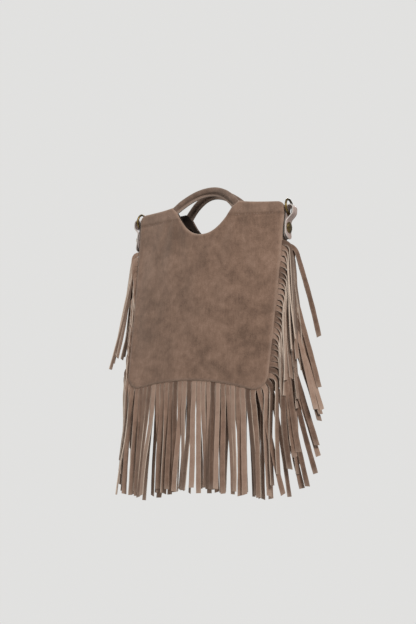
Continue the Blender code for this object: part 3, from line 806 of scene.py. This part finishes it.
class Strand:
    """How one strand hangs.  Angles in radians, lengths in millimetres."""

    def __init__(self, root, normal, y, side):
        self.root, self.normal, self.y, self.side = root, normal, y, side
        self.hand = math.copysign(1.0, root.x)
        self.sideways = max(self.hand * normal.x, 0.0)
        self.length = STRAND_LENGTH
        self.lean = 0.0
        self.droop = 0.0
        self.tilt = 0.0
        self.bend = 24.0
        self.twist = math.pi / 2 * self.sideways ** 0.7
        self.late_twist = 0.0
        self.sway = Vector((0.0, 0.0))
        self.wave = Vector((0.0, 0.0))
        self.phase = 0.0
        self.curl = 0.0
        self.hook = 0.0
        self.tone = 0.5
        self.width = STRAND_WIDTH
        self.slant = 0.0

    def sections(self):
        """Centre, along, across and thickness directions down the strand."""
        start = math.acos(min(self.sideways, 1.0)) + self.droop if self.sideways > 0.02 else math.pi / 2
        finish = max(math.pi / 2 - self.lean, start)
        bend = max(self.bend * min(finish - start, 1.0), 1e-3)
        count = round(self.length / SECTION_STEP)
        step = self.length / count
        here = Vector((self.root.x, self.y, self.root.y))
        centres, angles = [here.copy()], [start]
        for k in range(count):
            t = min((k + 0.5) * step / bend, 1.0)
            angle = start + (finish - start) * (0.5 - 0.5 * math.cos(math.pi * t))
            here = here + Vector((self.hand * math.cos(angle), 0.0, -math.sin(angle))) * step
            centres.append(here.copy())
            angles.append(angle)
        for k, centre in enumerate(centres):
            s = k * step / STRAND_LENGTH
            grow = smooth((s - 0.03) / 0.75) * 0.75 + 0.25 * s * smooth(s / 0.1)
            ripple = smooth(s / 0.3) * math.sin(s * 5.2 + self.phase)
            fan = self.tilt * STRAND_LENGTH * s * smooth(s / 0.15)
            centre.x += self.sway.x * grow + self.wave.x * ripple + fan + self.hook * s ** 5
            centre.y += self.sway.y * grow + self.wave.y * ripple + self.curl * s ** 3
        result = []
        for k, centre in enumerate(centres):
            along = (centres[min(k + 1, count)] - centres[max(k - 1, 0)]).normalized()
            angle = angles[k]
            s = k * step
            turn = self.twist * smooth(s / (TWIST_LENGTH * 1.15))
            turn += self.late_twist * smooth((s - 8.0) / 70.0)
            up = Vector((self.hand * math.sin(angle), 0.0, math.cos(angle)))
            across = up * math.cos(turn) + Vector((0.0, self.hand, 0.0)) * math.sin(turn)
            across = (across - along * across.dot(along)).normalized()
            result.append((centre, along, across, along.cross(across)))
        return result


CROSS_SECTION = ((-0.5, -0.5, 0.0), (-0.17, -0.5, 1.0), (0.17, -0.5, 1.0), (0.5, -0.5, 0.0),
                 (0.5, 0.5, 0.0), (0.17, 0.5, 1.0), (-0.17, 0.5, 1.0), (-0.5, 0.5, 0.0))
CUP = 0.22                     # a strand's faces bow by this much


def bunches(strands, sizes, draw):
    """Neighbouring strands in bunches of a few."""
    k = 0
    while k < len(strands):
        size = min(draw.choice(sizes), len(strands) - k)
        yield strands[k:k + size]
        k += size


def arrange(strands, seed):
    """Let the strands hang as cut leather does, in loose bunches that shingle, gap and cross."""
    draw = random.Random(seed)
    for group in bunches([s for s in strands if s.sideways < 0.5], (1, 1, 1, 2, 2, 3, 3, 4), draw):
        middle = sum(s.root.x for s in group) / len(group)
        lone = len(group) == 1
        drift = draw.uniform(-4.5, 4.5)
        depth = draw.uniform(-6.0, 6.0)
        turn = draw.choice((-1, 1)) * math.radians(draw.uniform(40, 85) if lone else draw.uniform(12, 38))
        squeeze = 0.0 if lone else draw.uniform(0.12, 0.32)
        fan = math.radians(draw.uniform(9.0, 24.0) if middle > 0 else draw.uniform(5.0, 10.0))
        for s in group:
            s.sway = Vector((drift - (s.root.x - middle) * squeeze + draw.uniform(-0.8, 0.8),
                             depth + draw.uniform(-1.2, 1.2)))
            s.late_twist = turn * s.hand + math.radians(draw.uniform(-9, 9))
            s.wave = Vector((draw.uniform(-0.8, 0.8), draw.uniform(-2.0, 2.0)))
            if s.sideways < 0.02:
                s.tilt = math.tan(PLUMB) + 0.045 * s.root.x / CORNER_REACH + draw.uniform(-0.026, 0.026)
            else:
                s.lean = fan + PLUMB * s.hand
    for hand in (-1, 1):
        group_strands = [s for s in strands if s.sideways >= 0.5 and s.hand == hand]
        for number, group in enumerate(bunches(group_strands, (1, 1, 2, 2, 3), draw)):
            behind = group[0].side > 0
            if hand > 0:
                thrown = draw.random() < (0.45 if behind else 0.2) or (behind and number == 0)
                far = (12.0, 18.0) if behind else (6.0, 10.0)
                splay = draw.uniform(*far) if thrown else draw.uniform(0.0, 6.0)
                bend = draw.uniform(26.0, 38.0) if thrown else draw.uniform(17.0, 30.0)
                flat = draw.uniform(0.25, 0.60) if thrown else draw.uniform(0.88, 1.10)
                reach = group[0].side * draw.uniform(-2.0, 9.0)
            else:
                high = group[0].root.y > SIDE_THROW_Z
                splay = draw.uniform(9.0, 14.0) if high else draw.uniform(0.0, 3.5)
                bend = draw.uniform(10.0, 18.0) if high else draw.uniform(4.0, 7.0)
                flat = draw.uniform(0.85, 1.05)
                reach = draw.uniform(-2.0, 2.0) if high else -group[0].side * draw.uniform(2.0, 7.0)
            droop = draw.uniform(0.04, 0.36)
            turn = math.radians(draw.uniform(-22, 22))
            for order, s in enumerate(group if hand > 0 else group[::-1]):
                s.lean = math.radians(splay + draw.uniform(-0.7, 0.7)) * s.sideways + PLUMB * hand
                s.lean = max(s.lean, SIDE_SLOPE)
                s.droop = droop * s.sideways + draw.uniform(-0.03, 0.03)
                s.bend = bend - 2.2 * order + draw.uniform(-0.5, 0.5)
                s.sway = Vector((0.0, reach + draw.uniform(-1.5, 1.5)))
                s.twist *= flat
                s.late_twist = turn + math.radians(draw.uniform(-8, 8))
                s.wave = Vector((draw.uniform(-1.5, 1.5), draw.uniform(-2.5, 2.5)))
    for s in strands:
        s.phase = draw.uniform(0.0, 6.3)
        s.curl = draw.uniform(-6.0, 6.0) if draw.random() < 0.3 else draw.uniform(-1.5, 1.5)
        s.hook = draw.uniform(-7.0, 7.0) if draw.random() < 0.12 else 0.0
        s.length = CUT_LENGTH - 6.0 * s.root.x / CORNER_REACH + draw.uniform(-5.0, 4.0)
        s.tone = draw.random()
        s.width = STRAND_WIDTH * draw.uniform(0.90, 1.04)
        s.slant = draw.uniform(-1.2, 1.2)


def add_fringe(name, side, seed):
    """One comb: a header strip in the seam, and the strands cut from it."""
    path = SeamPath(FRINGE_TOP_Z)
    count = int(path.length / STRAND_PITCH)
    pitch = path.length / count
    strands = []
    for i in range(count):
        flat, normal = path.at((i + 0.5) * pitch)
        y = side * (panel_depth(flat.x, flat.y) - SUEDE - GAP - STRAP_THICKNESS / 2)
        strands.append(Strand(flat + normal * 0.8, normal, y, side))
    arrange(strands, seed)
    points, faces, kinds, tones, wear_and_highlight = [], [], [], [], []
    columns = (-0.5, -0.17, 0.17, 0.5)
    for i, strand in enumerate(strands):
        for column in columns:
            flat, normal = path.at((i + 0.5) * pitch + column * strand.width)
            depth = panel_depth(flat.x, flat.y) - SUEDE - GAP
            for offset in (-HEADER, 0.8):
                for d in (depth, depth - STRAP_THICKNESS):
                    points.append(in_space(flat, normal, offset, side * d))
                    tones.append(strand.tone)
                    wear_and_highlight.append(0.0)
    total = 4 * count
    for k in range(total - 1):
        a, b = 4 * k, 4 * (k + 1)
        faces += [(a, b, b + 2, a + 2), (a + 1, a + 3, b + 3, b + 1), (a, a + 1, b + 1, b)]
        kinds += [0, 0, 1]
        if k % 4 == 3:
            faces.append((a + 2, b + 2, b + 3, a + 3))
            kinds.append(1)
    last = 4 * (total - 1)
    faces += [(0, 2, 3, 1), (last, last + 1, last + 3, last + 2)]
    kinds += [1, 1]
    for i, strand in enumerate(strands):
        start = 16 * i
        front = [start + 4 * c + 2 for c in range(4)]
        back = [start + 4 * c + 3 for c in range(4)]
        ring = front + back[::-1]
        frames = strand.sections()[1:]
        for n, (centre, along, across, thick) in enumerate(frames):
            fray = strand.slant if n == len(frames) - 1 else 0.0
            narrow = strand.width * (1.0 + 0.03 * math.sin(n * 0.7 + strand.phase))
            section = []
            for u, v, bow in CROSS_SECTION:
                cup = CUP * bow * (1.0 if v > 0 else 0.35)
                section.append(centre + across * u * narrow + along * fray * u * 2
                               + thick * (v * STRAP_THICKNESS + cup))
            section = nearest_order(section, [points[k] for k in ring])
            base = len(points)
            points += section
            tones += [strand.tone] * 8
            tip = smooth((n - len(frames) + 5) / 5)
            wear_and_highlight += [0.25 * tip + 0.15 * (1 - bow) for _, _, bow in CROSS_SECTION]
            grown = [base + k for k in range(8)]
            for k in range(8):
                faces.append((ring[k], ring[(k + 1) % 8], grown[(k + 1) % 8], grown[k]))
                kinds.append(1 if k in (3, 7) else 0)
            ring = grown
        faces.append(tuple(ring))
        kinds.append(1)
    piece = add_piece(name + "_strands", points, faces, [strand_suede, cream_edge], kinds,
                      {"tone": tones, "wear_and_highlight": wear_and_highlight})
    stand_in(name)
    return piece


def nearest_order(section, previous):
    """Turn or flip an eight-pointed section so that it meets the one before with the least twist."""
    centre = sum((Vector(p) for p in section), Vector()) / 8
    before = sum((Vector(p) for p in previous), Vector()) / 8
    arms = [Vector(p) - before for p in previous]
    offsets = [Vector(p) - centre for p in section]
    best = None
    for order in ((0, 1, 2, 3, 4, 5, 6, 7), (4, 5, 6, 7, 0, 1, 2, 3),
                  (3, 2, 1, 0, 7, 6, 5, 4), (7, 6, 5, 4, 3, 2, 1, 0)):
        match = sum(offsets[k].dot(arm) for k, arm in zip(order, arms))
        if best is None or match > best[0]:
            best = (match, order)
    return [section[k] for k in best[1]]


# ---------------------------------------------------------------- handles

def handle_path(t, side):
    """Centre of the handle.  t runs from -1 at the left horn to 1 at the right one."""
    x = HORN_X * t
    z = HORN_Z + ARCH_RISE * (1.0 - t * t)
    horn_y = panel_depth(HORN_X, HORN_Z) - SUEDE - GAP - TAIL_THICKNESS / 2
    y = HANDLE_GAP + (horn_y - HANDLE_GAP) * abs(t) ** 1.6
    return Vector((x, side * y, z))


def handle_profile(thin, bulge):
    """(outward, depth, wear) points of the rolled handle.  thin is 1 at its flat end."""
    points = [(-HORN_HALF_WIDTH, 0.0, 0.55), (-HORN_HALF_WIDTH + 0.15, -FLANGE_HALF_DEPTH * 0.6, 1.0),
              (-HORN_HALF_WIDTH + 0.6, -FLANGE_HALF_DEPTH, 0.9), (-5.0, -FLANGE_HALF_DEPTH, 0.55),
              (-3.6, -FLANGE_HALF_DEPTH * 0.93, 0.35), (-2.5, -FLANGE_HALF_DEPTH, 0.1)]
    for k in range(17):
        angle = math.radians(-138 + 276 * k / 16)
        points.append((ROLL_OFFSET + ROLL_RADIUS * bulge * math.cos(angle),
                       ROLL_HALF_DEPTH * bulge * math.sin(angle),
                       0.12 * max(math.cos(angle), 0.0)))
    points += [(-2.5, FLANGE_HALF_DEPTH, 0.1), (-3.6, FLANGE_HALF_DEPTH * 0.93, 0.35),
               (-5.0, FLANGE_HALF_DEPTH, 0.55), (-HORN_HALF_WIDTH + 0.6, FLANGE_HALF_DEPTH, 0.9),
               (-HORN_HALF_WIDTH + 0.15, FLANGE_HALF_DEPTH * 0.6, 1.0)]
    flat = TAIL_THICKNESS / 2
    return [(r, d + (math.copysign(flat, d) * min(abs(d) / FLANGE_HALF_DEPTH, 1.0) - d) * thin, w)
            for r, d, w in points]


def handle_stations(side):
    run, rise = limb_direction()
    stations = []
    count = 90
    for k in range(count + 1):
        t = 2.0 * k / count - 1.0
        out = Vector((2.0 * ARCH_RISE * t / HORN_X, 0.0, 1.0)).normalized()
        thin = min(max((abs(t) - 0.84) / 0.16, 0.0), 1.0)
        stations.append((handle_path(t, side), out, thin))
    for hand in (-1, 1):
        out = Vector((hand * rise, 0.0, -run))
        tail = []
        for part in range(1, 7):
            reach = TAIL * part / 6
            x, z = HORN_X - run * reach, HORN_Z - rise * reach
            y = panel_depth(x, z) - SUEDE - GAP - TAIL_THICKNESS / 2
            tail.append((Vector((hand * x, side * y, z)), out, 1.0))
        stations = stations + tail if hand > 0 else tail[::-1] + stations
    return stations


def add_handle(name, side):
    sections, wear_and_highlight = [], []
    for n, (middle, out, thin) in enumerate(handle_stations(side)):
        bulge = 1.0 + 0.035 * noise.noise(Vector((n / 5.0, side * 3.0, 1.7)))
        section = []
        for r, d, w in handle_profile(thin, bulge):
            point = middle + out * r
            slope = panel_depth(point.x, point.z) - panel_depth(middle.x, middle.z)
            section.append(point + Vector((0.0, d + side * slope * thin, 0.0)))
            wear_and_highlight.append(w)
        sections.append(section)
    points, faces = sweep(sections)
    piece = add_piece(name + "_roll", points, faces, [handle_suede], values={"wear_and_highlight": wear_and_highlight},
                      smooth_angle=55.0)
    stand_in(name)
    return piece


# ---------------------------------------------------------------- stitches

def stitch(start, finish, outward, radius):
    """One stitch: a rounded run of thread that dips in at both ends."""
    run = finish - start
    side = run.normalized().cross(outward).normalized()
    sections = []
    for k in range(7):
        t = k / 6
        lift = radius * (1.5 * math.sin(math.pi * t) - 0.9)
        girth = radius * (0.55 + 0.45 * math.sin(math.pi * t))
        middle = start + run * t + outward * lift
        sections.append([middle + (side * math.cos(a) + outward * math.sin(a)) * girth
                         for a in (2 * math.pi * j / 6 for j in range(6))])
    return sweep(sections)


def add_stitches(name, lines, length, gap, radius, material):
    """Stitches along lines of (point, outward) pairs."""
    points, faces = [], []
    for line in lines:
        stations = [0.0]
        for (a, _), (b, _) in zip(line, line[1:]):
            stations.append(stations[-1] + (b - a).length)

        def at(distance):
            k = 0
            while k < len(stations) - 2 and stations[k + 1] < distance:
                k += 1
            t = (distance - stations[k]) / (stations[k + 1] - stations[k])
            (a, na), (b, nb) = line[k], line[k + 1]
            return a.lerp(b, t), na.lerp(nb, t).normalized()

        distance = gap
        while distance + length < stations[-1]:
            start, outward = at(distance)
            finish, _ = at(distance + length)
            more, joined = stitch(start, finish, outward, radius)
            faces += [tuple(k + len(points) for k in face) for face in joined]
            points += more
            distance += length + gap
    piece = add_piece(name, points, faces, [material])
    return piece


def surface_line(coordinates, side):
    """Points on a panel's outer face with its outward normal, from (x, z) pairs."""
    outer = panel_outer(side)
    line = []
    for x, z in coordinates:
        here = Vector((x, side * outer(x, z, 12.0), z))
        right = Vector((x + 0.5, side * outer(x + 0.5, z, 12.0), z)) - here
        above = Vector((x, side * outer(x, z + 0.5, 12.0), z + 0.5)) - here
        outward = right.cross(above).normalized()
        if outward.y * side < 0:
            outward = -outward
        line.append((here, outward))
    return line


def hem_lines(side):
    lines = []
    for hand in (-1, 1):
        xs = [hand * (HEM_START_X + 2.0 + k * 1.5) for k in range(int((half_width(HEM_Z) - 38.5) / 1.5))]
        lines.append(surface_line([(x, HEM_Z) for x in xs], side))
    return lines


def horn_lines(side):
    """Two sewn lines across each horn, where it holds the handle's end."""
    run, rise = limb_direction()
    lines = []
    for hand in (-1, 1):
        for reach in (2.6, 11.5):
            ends = []
            for k in range(9):
                across = (k / 4 - 1.0) * (HORN_HALF_WIDTH - 1.2)
                ends.append((hand * (HORN_X - run * reach + rise * across),
                             HORN_Z - rise * reach - run * across))
            lines.append(surface_line(ends, side))
    return lines


def flange_lines(side):
    """Stitching along the handle's flat flange, on both of its faces."""
    lines = []
    for face in (-1, 1):
        line = []
        for middle, out, thin in handle_stations(side)[10:-10]:
            line.append((middle + out * -4.4 + Vector((0.0, face * FLANGE_HALF_DEPTH, 0.0)),
                         Vector((0.0, face, 0.0))))
        lines.append(line)
    return lines


# ---------------------------------------------------------------- ring tabs

def tab_path():
    """(x, z) along the middle of the folded tab, inner tip to outer tip."""
    inner_x = TAB_X + TAB / 2
    loop_x = RING_AXIS_X + LOOP_REACH + TAB / 2
    outer_x = TAB_X + 1.5 * TAB + GAP
    points = [(inner_x, z) for z in tip_heights()]
    straight = [TONGUE_Z - 6.0, TONGUE_Z - 3.0]
    points += [(inner_x, z) for z in straight]
    points += [(inner_x, TONGUE_Z + (FOLD_Z - TONGUE_Z) * k / 10) for k in range(11)]
    radius = (loop_x - inner_x) / 2
    for k in range(1, 20):
        angle = math.pi * (1 - k / 20)
        points.append((inner_x + radius + radius * math.cos(angle), FOLD_Z + radius * math.sin(angle)))
    top = RING_AXIS_Z + 2.0
    points += [(loop_x, FOLD_Z - (FOLD_Z - top) * k / 3) for k in range(4)]
    for k in range(1, 16):
        t = k / 15
        ease = 0.5 - 0.5 * math.cos(math.pi * t)
        points.append((loop_x + (outer_x - loop_x) * ease, top + (PINCH_Z - top) * t))
    points += [(outer_x, z) for z in reversed(straight)]
    flare = [(outer_x + 2.2 * smooth((RIVET_Z - 5.0 - z) / 12.0), z) for z in reversed(tip_heights())]
    return points + flare


def tip_heights():
    """Stations along the round tip of the tongue, closer together at its end."""
    radius = TAB_TONGUE_HALF_WIDTH
    return [TAB_TIP_Z + radius * (1 - math.cos(math.pi / 2 * (k + 0.5) / 12.5)) for k in range(13)]


def tab_half_width(z):
    if z < TAB_TIP_Z + TAB_TONGUE_HALF_WIDTH:
        rest = TAB_TIP_Z + TAB_TONGUE_HALF_WIDTH - z
        return math.sqrt(max(TAB_TONGUE_HALF_WIDTH ** 2 - rest ** 2, 0.4))
    t = smooth((z - TONGUE_Z) / (NECK_Z - TONGUE_Z))
    return TAB_TONGUE_HALF_WIDTH + (TAB_NECK_HALF_WIDTH - TAB_TONGUE_HALF_WIDTH) * t


def add_tab(name, hand):
    path = [Vector(p) for p in tab_path()]
    across = (-1.0, -0.9, -0.6, -0.2, 0.2, 0.6, 0.9, 1.0)
    sections, wear_and_highlight = [], []
    for k, here in enumerate(path):
        run = (path[min(k + 1, len(path) - 1)] - path[max(k - 1, 0)]).normalized()
        side = Vector((-run.y, run.x)) * TAB / 2
        width = tab_half_width(here.y)
        section = []
        for face, order in ((1, across), (-1, across[::-1])):
            for w in order:
                thin = 0.72 if abs(w) == 1.0 else 1.0
                offset = side * face * thin
                section.append((hand * (here.x + offset.x), w * width, here.y + offset.y))
                # The borders of the faces are marked lighter: partly wear, partly painted highlight.
                wear_and_highlight.append(1.0 if abs(w) == 1.0 else 0.25 if abs(w) == 0.9 else 0.0)
        sections.append(section)
    points, faces = sweep(sections)
    edge_columns = (7, 15)
    inner_layer = len(tip_heights()) + 13
    # The inner layer's cut edges get the dark copy as painted shade; the outer layer's get the pale one.
    kinds = [0 if n % 16 not in edge_columns else 2 if n // 16 < inner_layer else 1
             for n in range(len(faces) - 2)] + [2, 1]
    piece = add_piece(name + "_strap", points, faces, [tab_leather, tab_edge, tab_edge_painted_shade], kinds,
                      {"wear_and_highlight": wear_and_highlight})
    stand_in(name)
    steps = [(b - a).length for a, b in zip(path, path[1:])]
    cut = sum(2 * tab_half_width(p.y) * step for p, step in zip(path, steps))
    return piece


def add_ring(name, hand):
    """A cast ring, a little uneven, on its own body."""
    sides, around = 96, 20
    up = Vector((-hand * math.sin(RING_LEAN), 0.0, math.cos(RING_LEAN)))
    across = Vector((0.0, 1.0, 0.0))
    normal = up.cross(across)
    middle = Vector((hand * RING_AXIS_X, 0.0, RING_AXIS_Z)) + up * RING_RADIUS
    sections, wear_and_highlight = [], []
    for i in range(sides):
        angle = 2 * math.pi * i / sides
        out = up * math.cos(angle) + across * math.sin(angle)
        section = []
        for k in range(around):
            turn = 2 * math.pi * k / around
            dent = 1.0 - 0.03 * noise.noise(Vector((i / 6.0, k / 4.0, hand)))
            section.append(middle + out * (RING_RADIUS + WIRE_RADIUS * dent * math.cos(turn))
                           + normal * WIRE_RADIUS * dent * math.sin(turn))
            wear_and_highlight.append(0.35 + 0.45 * max(math.cos(turn), 0.0))
        sections.append(section)
    points, faces = sweep(sections, closed=True)
    piece = add_piece(name + "_cast", points, faces, [brass], values={"wear_and_highlight": wear_and_highlight}, smooth_angle=80.0,
                      body=name)
    stand_in(name)
    return piece


def add_rivet(side_name, hand):
    web_x = half_width(RIVET_Z) - 0.6
    back_x = web_x - GUSSET - GAP
    cap_x = TAB_X + 2 * TAB + 2 * GAP
    outward = (hand, 0.0, 0.0)
    height = cap_x - back_x
    back = [(0.0, -1.1), (BACK_CAP_RADIUS * 0.45, -1.05), (BACK_CAP_RADIUS * 0.75, -0.9),
            (BACK_CAP_RADIUS * 0.95, -0.55), (BACK_CAP_RADIUS, -0.25), (BACK_CAP_RADIUS, 0.0),
            (POST_RADIUS, 0.0), (POST_RADIUS, height + 1.0), (0.0, height + 1.0)]
    hole = POST_RADIUS + GAP
    cap = [(0.0, 1.4), (hole, 1.4), (hole, 0.0), (CAP_RADIUS - 0.7, 0.0), (CAP_RADIUS - 0.15, 0.15),
           (CAP_RADIUS, 0.55), (CAP_RADIUS - 0.1, 0.95), (CAP_RADIUS - 0.55, 1.1), (CAP_RADIUS - 0.8, 1.0)]
    for k in range(1, 9):
        angle = math.pi / 2 * k / 9
        cap.append(((CAP_RADIUS - 0.8) * math.cos(angle), 1.0 + 1.7 * math.sin(angle)))
    cap.append((0.0, 2.7))
    for node, profile, x in (("rivet_back_", back, back_x), ("rivet_cap_", cap, cap_x)):
        points, faces = turned(profile, (hand * x, 0.0, RIVET_Z), outward, 56)
        rows = len(profile) - 2
        rim = (rows - 12, rows - 11)    # a cap's turned edge, which the back caps don't have
        wear_and_highlight = [0.5] + [0.75 if row in rim else 0.55 for row in range(rows) for _ in range(56)] + [0.6]
        piece = add_piece(node + side_name + "_domed", points, faces, [brass], values={"wear_and_highlight": wear_and_highlight},
                          smooth_angle=50.0)
        stand_in(node + side_name)


# ---------------------------------------------------------------- the bag

for name, side, seed in (("front", -1, 7), ("back", 1, 23)):
    add_panel(name + "_panel", side)
    add_facing(name + "_facing", side)
    add_fringe(name + "_fringe", side, seed)
    add_handle(name + "_handle", side)
    add_stitches(name + "_hem_stitches", hem_lines(side), 3.0, 1.3, 0.34, thread)
    add_stitches(name + "_horn_stitches", horn_lines(side), 2.4, 0.9, 0.34, thread)
    add_stitches(name + "_handle_stitches", flange_lines(side), 2.6, 1.2, 0.3, thread)
add_gusset()
add_lining()
for name, hand in (("left", -1), ("right", 1)):
    add_tab("ring_tab_" + name, hand)
    add_ring("ring_" + name, hand)
    add_rivet(name, hand)


# ---------------------------------------------------------------- stage

FLOOR_Z = -1.6
FLOOR_RADIUS = 5.0
floor_mesh = bpy.data.meshes.new("floor")
floor_shell = bmesh.new()
bmesh.ops.create_circle(floor_shell, cap_ends=True, radius=FLOOR_RADIUS, segments=128)
floor_shell.to_mesh(floor_mesh)
floor_shell.free()
floor = bpy.data.objects.new("floor", floor_mesh)
floor.location = (0.0, 0.0, FLOOR_Z)
bpy.context.scene.collection.objects.link(floor)
floor_paint = Shader("floor_paint", Roughness=0.9, Specular_IOR_Level=0.1)
floor_mesh.materials.append(floor_paint.finish(
    colour=floor_paint.mix(floor_paint.noise(0.4), (0.72, 0.72, 0.71), (0.75, 0.75, 0.74))))

world = bpy.data.worlds.new("studio")
world.use_nodes = True
backdrop = world.node_tree.nodes["Background"]
backdrop.inputs["Color"].default_value = (0.755, 0.752, 0.742, 1.0)
ambient = world.node_tree.nodes.new("ShaderNodeBackground")
ambient.inputs["Color"].default_value = (0.98, 0.99, 1.0, 1.0)
ambient.inputs["Strength"].default_value = 0.42
seen = world.node_tree.nodes.new("ShaderNodeLightPath")
choice = world.node_tree.nodes.new("ShaderNodeMixShader")
world.node_tree.links.new(seen.outputs["Is Camera Ray"], choice.inputs[0])
world.node_tree.links.new(ambient.outputs[0], choice.inputs[1])
world.node_tree.links.new(backdrop.outputs[0], choice.inputs[2])
world.node_tree.links.new(choice.outputs[0], world.node_tree.nodes["World Output"].inputs["Surface"])
bpy.context.scene.world = world


def add_light(name, place, target, size, watts):
    data = bpy.data.lights.new(name, "AREA")
    data.shape = "DISK"
    data.size = size
    data.energy = watts
    light = bpy.data.objects.new(name, data)
    light.location = place
    aim = Vector(target) - Vector(place)
    light.rotation_euler = aim.to_track_quat("-Z", "Y").to_euler()
    bpy.context.scene.collection.objects.link(light)


BAG_MIDDLE = (0.0, 0.0, -0.17)
add_light("key", (1.6, -1.4, 1.1), BAG_MIDDLE, 0.8, 58.0)
add_light("fill", (-1.7, -1.5, 0.3), BAG_MIDDLE, 1.4, 10.0)
add_light("rim", (-0.6, 1.9, 1.3), BAG_MIDDLE, 1.0, 40.0)

AZIMUTH = math.radians(31.75)
ELEVATION = math.radians(-9.72)
ROLL = math.radians(-3.67)
LOOK_AT = Vector((0.00367, 0.0, -0.16926))
DISTANCE = 1.2345
back = Vector((math.sin(AZIMUTH) * math.cos(ELEVATION), -math.cos(AZIMUTH) * math.cos(ELEVATION),
               math.sin(ELEVATION)))
level_right = Vector((math.cos(AZIMUTH), math.sin(AZIMUTH), 0.0))
level_up = back.cross(level_right)
right = level_right * math.cos(ROLL) - level_up * math.sin(ROLL)
up = level_right * math.sin(ROLL) + level_up * math.cos(ROLL)
camera_data = bpy.data.cameras.new("camera")
camera_data.sensor_width = 36.0
camera_data.lens = 51.9
camera = bpy.data.objects.new("camera", camera_data)
camera.matrix_world = Matrix.Translation(LOOK_AT + back * DISTANCE) @ Matrix(
    (right, up, back)).transposed().to_4x4()
bpy.context.scene.collection.objects.link(camera)
bpy.context.scene.camera = camera
bpy.context.scene.view_settings.view_transform = "Standard"
